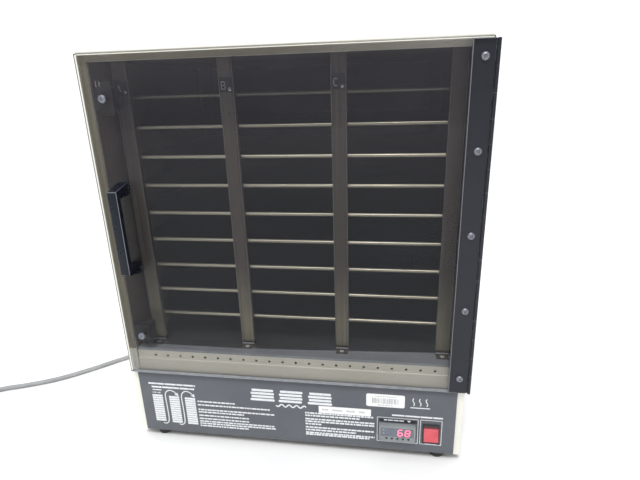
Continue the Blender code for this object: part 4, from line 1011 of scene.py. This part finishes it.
def build_pictogram():
    """In the heading's place: three stacks of folded towels over a wavy line."""
    shape = Shape()
    for k, (u0, u1) in enumerate(((163.0, 197.5), (203.0, 238.0), (243.5, 277.0))):
        for i, inset in enumerate((2.5, 0.8, 1.8, 0.0)):
            v = 19.0 + i * 5.1
            print_plate(shape, u0 + inset, u1 - (2.4 - inset) * (k % 2) - inset / 2, v, v + 3.7, 1.6)
    wave = [(199.0 + 42 * k / 40, 43.6 + 1.9 * math.sin(2 * math.pi * k / 10)) for k in range(41)]
    print_line(shape, wave, 2.0)
    shape.piece("fascia_pictogram", "print_white")


def build_labels():
    """A plain round-cornered sticker with bars, and a plain strip label."""
    shape = Shape()
    print_plate(shape, 322.8, 373.2, 14.0, 33.6, 2.4, STICKER)
    print_plate(shape, 258.4, 329.2, 39.4, 50.4, 0.3, STICKER)
    shape.piece("fascia_labels", "white_label_and_sheen")
    marks = Shape()
    draw = random.Random(12)
    u = 330.5
    while u < 365.5:
        wide = draw.choice((0.45, 0.45, 0.8, 1.2))
        print_plate(marks, u, min(u + wide, 366), 20.2, 28.4, layer=ON_STICKER)
        u += wide + draw.choice((0.5, 0.7, 1.1))
    for v, start, end in ((17.4, 334, 362), (30.8, 338, 358)):
        u = start
        while u < end:
            wide = draw.uniform(1.4, 4.0)
            print_plate(marks, u, min(u + wide, end), v - 0.5, v + 0.5, layer=ON_STICKER)
            u += wide + 0.9
    marks.piece("label_marks", "print_grey")
    marks = Shape()
    u = 262.5
    for wide in (9, 14, 12, 8):
        print_plate(marks, u, u + wide, 43.6, 46.2, 0.4, ON_STICKER)
        u += wide + 5.2
    marks.piece("strip_label_marks", "pale_print_and_highlight")


def build_control_print():
    """Outlines round the controller and the switch, with their headings."""
    shape = Shape()
    print_outline(shape, 337.4, 391.9, 49.8, 89.6)
    print_outline(shape, 394.2, 422.7, 49.6, 89.4)
    print_words(shape, 51, 357.0, 45.6, 66.0, 2.3, words=(14, 24))
    for u in (384.5, 393.0, 401.5):
        steam = [(u + 1.1 * math.sin(2 * math.pi * k / 12), 28.6 - 0.95 * k) for k in range(13)]
        print_line(shape, steam, 1.2)
    print_plate(shape, 380.5, 406.0, 31.0, 32.4, 0.5)
    print_words(shape, 52, 401.0, 87.8, 15.5, 1.5, words=(15, 16))
    shape.piece("control_outlines", "print_white")
    band = Shape()
    print_plate(band, 340.5, 390.0, 52.2, 56.6)
    band.piece("controller_heading_band", "black_print_and_shade")
    heading = Shape()
    for u0, u1 in ((346.5, 351.0), (351.8, 358.5), (359.3, 366.0), (366.8, 373.0)):
        print_plate(heading, u0, u1, 53.1, 54.9, layer=ON_PRINT)
    print_shape(heading, ((377.0, 52.8), (382.2, 52.8), (379.6, 56.2)), ON_PRINT)
    heading.piece("controller_heading", "print_white")


# -------------------------------------------------------------------------------------- controls
SEGMENTS = {"6": "acdefg", "8": "abcdefg"}


def digit(shape, text, x, z, width, height, front, back):
    """A seven-segment digit, leaning a little, with its middle at (x, z)."""
    line, lean, gap = width * 0.20, 0.10, 0.00022
    half_w, half_h = width / 2 - line / 2, height / 2 - line / 2
    ends = {
        "a": ((-half_w, half_h), (half_w, half_h)),
        "g": ((-half_w, 0), (half_w, 0)),
        "d": ((-half_w, -half_h), (half_w, -half_h)),
        "f": ((-half_w, 0), (-half_w, half_h)),
        "b": ((half_w, 0), (half_w, half_h)),
        "e": ((-half_w, -half_h), (-half_w, 0)),
        "c": ((half_w, -half_h), (half_w, 0)),
    }
    for name in SEGMENTS[text]:
        start, end = (Vector(p) for p in ends[name])
        along = (end - start).normalized()
        across = Vector((-along.y, along.x)) * line / 2
        a, b = start + along * gap, end - along * gap
        tip = along * line / 2
        outline = [a, a + tip - across, b - tip - across, b, b - tip + across, a + tip + across]
        shape.plate([(x + p.x + lean * p.y, z + p.y) for p in outline], front, back)


def build_display():
    window = Extent("controller_window")
    shape = Shape()
    front, back = window.front - 0.00008, window.front + 0.00002
    for text, x in (("6", window.right - 0.0172), ("8", window.right - 0.0078)):
        digit(shape, text, x, window.centre.z - 0.0002, 0.0072, 0.0108, front, back)
    shape.piece("display_digits", "display_digits")
    lamps = Shape()
    x = window.left + 3.5 * MM
    for z in (window.top - 3 * MM, window.top - 8.5 * MM):
        lamps.rod((x, front, z), (x, back, z), 0.7 * MM)
    lamps.piece("display_pilots", "print_grey")


def build_key_marks():
    """Raised rings round the controller's keys."""
    shape = Shape()
    face = Extent("controller_case").front
    for i in range(1, 6):
        key = Extent(f"controller_key_{i}").centre
        outer, inner = ([(key.x + r * math.cos(math.pi * k / 14), key.z + r * math.sin(math.pi * k / 14))
                         for k in range(28)] for r in (2.3 * MM, 1.7 * MM))
        shape.rim(outer, inner, face - 0.2 * MM, face + 0.1 * MM)
    shape.piece("key_rings", "grey_plastic")


# --------------------------------------------------------------------------------------- chamber
def letter(shape, text, x, z, height, front, back):
    """A plain stroke letter for a column's plate."""
    w, h, line = height * 0.30, height / 2, height * 0.13
    curve = [(w * math.cos(a), h * math.sin(a)) for a in (math.radians(d) for d in range(50, 311, 20))]
    strokes = {
        "A": [((-w, -h), (0, h)), ((0, h), (w, -h)), ((-w * 0.6, -h * 0.25), (w * 0.6, -h * 0.25))],
        "B": [((-w, -h), (-w, h)), ((-w, h), (w * 0.5, h), (w * 0.8, h * 0.55), (w * 0.5, 0.06 * h), (-w, 0)),
              ((-w, 0), (w * 0.6, 0), (w, -h * 0.5), (w * 0.6, -h), (-w, -h))],
        "C": [curve],
    }[text]
    for points in strokes:
        shape.plate(ribbon([(x + u, z + v) for u, v in points], line), front, back)


def build_column_plates():
    """Small black plates with a letter and a screw near the top of three posts."""
    plates, letters, screws, crosses, dots = Shape(), Shape(), Shape(), Shape(), Shape()
    dome = [(0, 0), (0.0021, 0), (0.0021, 0.0003), (0.001953, 0.00066), (0.001512, 0.00102),
            (0.000882, 0.0012), (0, 0.001224)]
    for name, text in zip(POSTS, "ABC"):
        post = Extent(name)
        face = post.front + POST_WEB
        x, z = post.centre.x, DOOR.bottom + 376 * MM
        plates.plate(rectangle(x - 7.8 * MM, x + 7.8 * MM, z - 8.8 * MM, z + 8.8 * MM, 1 * MM),
                     face - 0.6 * MM, face - 0.1 * MM)
        letter(letters, text, x - 3 * MM, z - 0.8 * MM, 8.2 * MM, face - 0.75 * MM, face - 0.5 * MM)
        screw(screws, crosses, (x + 4.4 * MM, face - 0.6 * MM, z - 5.2 * MM), (0, -1, 0), dome,
              (0.001, 0.00022, 0.0012, 0.00132))
        if text != "A":
            # Painted shade: a black disc stands for each hole.
            hole_x, hole_z = x + 1.5 * MM, DOOR.bottom + 344 * MM
            dots.rod((hole_x, face - 0.2 * MM, hole_z), (hole_x, face, hole_z), 1.6 * MM)
    plates.piece("column_plates", "black_print_and_shade")
    letters.piece("column_letters", "print_grey")
    screws.piece("column_plate_screws", "bright_steel")
    crosses.piece("column_screw_recesses", "black_print_and_shade")
    dots.piece("post_holes", "black_print_and_shade")


def build_post_screws():
    """One screw through each post's foot."""
    heads, crosses = Shape(), Shape()
    for name in POSTS:
        post = Extent(name)
        x, y, z = post.centre.x, post.front + 0.0046, post.bottom + 0.0012
        dome = [(0, 0), (0.0027, 0), (0.0027, 0.0003), (0.0023, 0.0009), (0.0014, 0.0013), (0, 0.0014)]
        screw(heads, crosses, (x, y, z), (0, 0, 1), dome, (0.0012, 0.0003, 0.0013, 0.00148), 24)
    # Painted sheen: the steel heads are given a pale matte white for the light they catch.
    heads.piece("post_foot_screws", "white_label_and_sheen")
    crosses.piece("post_foot_recesses", "black_print_and_shade")


def build_post_beads():
    """The rolled vertical edges of the posts, finished brighter than the posts as painted highlight, and a
    pale line of painted highlight where each post meets its foot.
    """
    beads, creases = Shape(), Shape()
    for name in POSTS:
        post = Extent(name)
        web = post.front + POST_WEB
        for x in (post.left, post.right - 0.9 * MM):
            beads.block((x, web - 0.35 * MM, post.bottom + POST_BEND),
                        (x + 0.9 * MM, web + 0.2 * MM, post.top), 0.2 * MM)
        creases.block((post.left + 0.6 * MM, web - 0.7 * MM, post.bottom + 2.2 * MM),
                      (post.right - 0.6 * MM, web + 0.2 * MM, post.bottom + 3.8 * MM), 0.2 * MM)
    beads.piece("post_beads", "post_bead")
    creases.piece("post_foot_highlights", "pale_print_and_highlight")


def build_floor_light_patch():
    """A pale patch of painted light along the front of the chamber's floor, and the liner's right-hand
    return.
    """
    base, post, liner = Extent("rack_base"), Extent("post_right"), Extent("liner_wrap")
    left, right = liner.left + 3 * MM, liner.right - 3 * MM
    front = base.front - 6.7 * MM
    # The painted light reaches further back towards the right: where its rear edge runs, and how deep it is
    # there.
    rear_edge = ((right, 23.3), (9 * MM, 10.9), (-150 * MM, 3.5), (left, 0.3))
    outline = [(left, front), (right, front), *((x, front + depth * MM) for x, depth in rear_edge)]
    low, high = ([(x, y, base.top + rise * MM) for x, y in outline] for rise in (0.05, 0.25))
    Shape().prism(low, high).piece("floor_light_patch", "floor_light_grey")
    web = post.front + POST_WEB
    side = Shape().block((post.right + 0.2 * MM, web, post.bottom + 0.004),
                         (liner.right - 1.4 * MM, web + 0.8 * MM, post.top))
    side.piece("liner_return", "post_steel")


def build_slot_shade_strips():
    """Dark strips close behind the air slots in the chamber's back, as painted shade seen through the slots.
    """
    liner = Extent("liner_wrap")
    strips = Shape()
    for z in (0.190, 0.490):
        strips.block((liner.centre.x - 0.125, liner.back + 0.5 * MM, z - 0.007),
                     (liner.centre.x + 0.125, liner.back + 1.1 * MM, z + 0.007))
    strips.piece("slot_shade_strips", "black_print_and_shade")


# ----------------------------------------------------------------------------- back and outside
def build_back_screws():
    """Pan-head screws round the rear cover."""
    panel = Extent("back_panel")
    heads, crosses = Shape(), Shape()
    inset = 0.009
    places = [(x, z) for z in (panel.bottom + inset, panel.centre.z, panel.top - inset)
              for x in (panel.left + inset, panel.right - inset)]
    places += [(panel.centre.x, panel.bottom + inset), (panel.centre.x, panel.top - inset)]
    dome = [(0, 0), (0.0036, 0), (0.0037, 0.0006), (0.0031, 0.0015), (0.0018, 0.0020), (0, 0.0021)]
    for x, z in places:
        screw(heads, crosses, (x, panel.back, z), (0, 1, 0), dome, (0.0016, 0.000352, 0.00205, 0.00217))
    heads.piece("back_screws", "bright_steel")
    crosses.piece("back_screw_recesses", "black_print_and_shade")


def build_rating_plate():
    """A plain metal plate beside the cord, with ruled lines and no text."""
    panel = Extent("back_panel")
    x, z = panel.centre.x - 0.085, 0.135
    plate = Shape().plate(rectangle(x - 0.032, x + 0.032, z - 0.020, z + 0.020, 0.002),
                          panel.back, panel.back + 0.0004)
    plate.piece("rating_plate", "bright_steel")
    rules = Shape()
    for i in range(4):
        v = z + 0.012 - i * 0.008
        rules.block((x - 27 * MM, panel.back + 0.4 * MM, v - 0.3 * MM),
                    (x + 27 * MM, panel.back + 0.46 * MM, v + 0.3 * MM))
    rules.piece("rating_plate_rules", "black_print_and_shade")


# ------------------------------------------------------------------------------------- the studio
def make_floor():
    data = bpy.data.meshes.new("studio_floor")
    shape = bmesh.new()
    bmesh.ops.create_grid(shape, x_segments=1, y_segments=1, size=6.0)
    shape.to_mesh(data)
    shape.free()
    data.materials.append(plain("studio_floor", (0.90, 0.90, 0.895), 0.7,
                                (0.5, (0.895, 0.895, 0.89), (0.905, 0.905, 0.90), 3.0)))
    put("studio_floor", data)


def light(name, kind, power, shines, place=(0, 0, 0), **settings):
    """A lamp that shines along a direction."""
    data = bpy.data.lights.new(name, kind)
    data.energy = power
    for setting, value in settings.items():
        setattr(data, setting, value)
    lamp = put(name, data)
    lamp.location = place
    lamp.rotation_mode = "QUATERNION"
    lamp.rotation_quaternion = Vector(shines).to_track_quat("-Z", "Y")


def make_studio():
    make_floor()
    light("ceiling_light", "AREA", 13, (0.15, 0, -2.1), (-0.15, 0.1, 2.3),
          shape="RECTANGLE", size=2.4, size_y=1.8)
    light("rear_light", "AREA", 7, (0.4, -2.4, -1.45), (-0.4, 2.4, 1.7),
          shape="RECTANGLE", size=2.2, size_y=1.6)
    light("room_light", "SUN", 2.2, (0.05, 0.75, -1.25), angle=math.radians(18))
    world = bpy.data.worlds.new("studio")
    world.use_nodes = True
    bpy.context.scene.world = world
    tree = world.node_tree
    ambient = tree.nodes["Background"]
    ambient.inputs["Color"].default_value = (0.96, 0.98, 1.0, 1.0)
    ambient.inputs["Strength"].default_value = 0.6
    seen = tree.nodes.new("ShaderNodeBackground")
    seen.inputs["Color"].default_value = (1.0, 1.0, 1.0, 1.0)
    seen.inputs["Strength"].default_value = 1.15
    path = tree.nodes.new("ShaderNodeLightPath")
    choice = tree.nodes.new("ShaderNodeMixShader")
    tree.links.new(path.outputs["Is Camera Ray"], choice.inputs[0])
    tree.links.new(ambient.outputs[0], choice.inputs[1])
    tree.links.new(seen.outputs[0], choice.inputs[2])
    tree.links.new(choice.outputs[0], tree.nodes["World Output"].inputs["Surface"])
    bpy.context.scene.view_settings.view_transform = "Standard"


# ------------------------------------------------------------------------------------------ whole
make_camera()
FINISHES = make_finishes()
make_cord()
dress_nodes()
for build in (build_door_edges, build_door_seal, build_hinge_screws, build_hinge_bushings,
              build_hinge_side_screws, build_strike_fixings, build_handle_fixings,
              build_text_blocks, build_sequence_diagram, build_pictogram, build_labels, build_control_print,
              build_display, build_key_marks,
              build_column_plates, build_post_beads, build_floor_light_patch, build_slot_shade_strips, build_post_screws,
              build_back_screws, build_rating_plate):
    build()
make_studio()
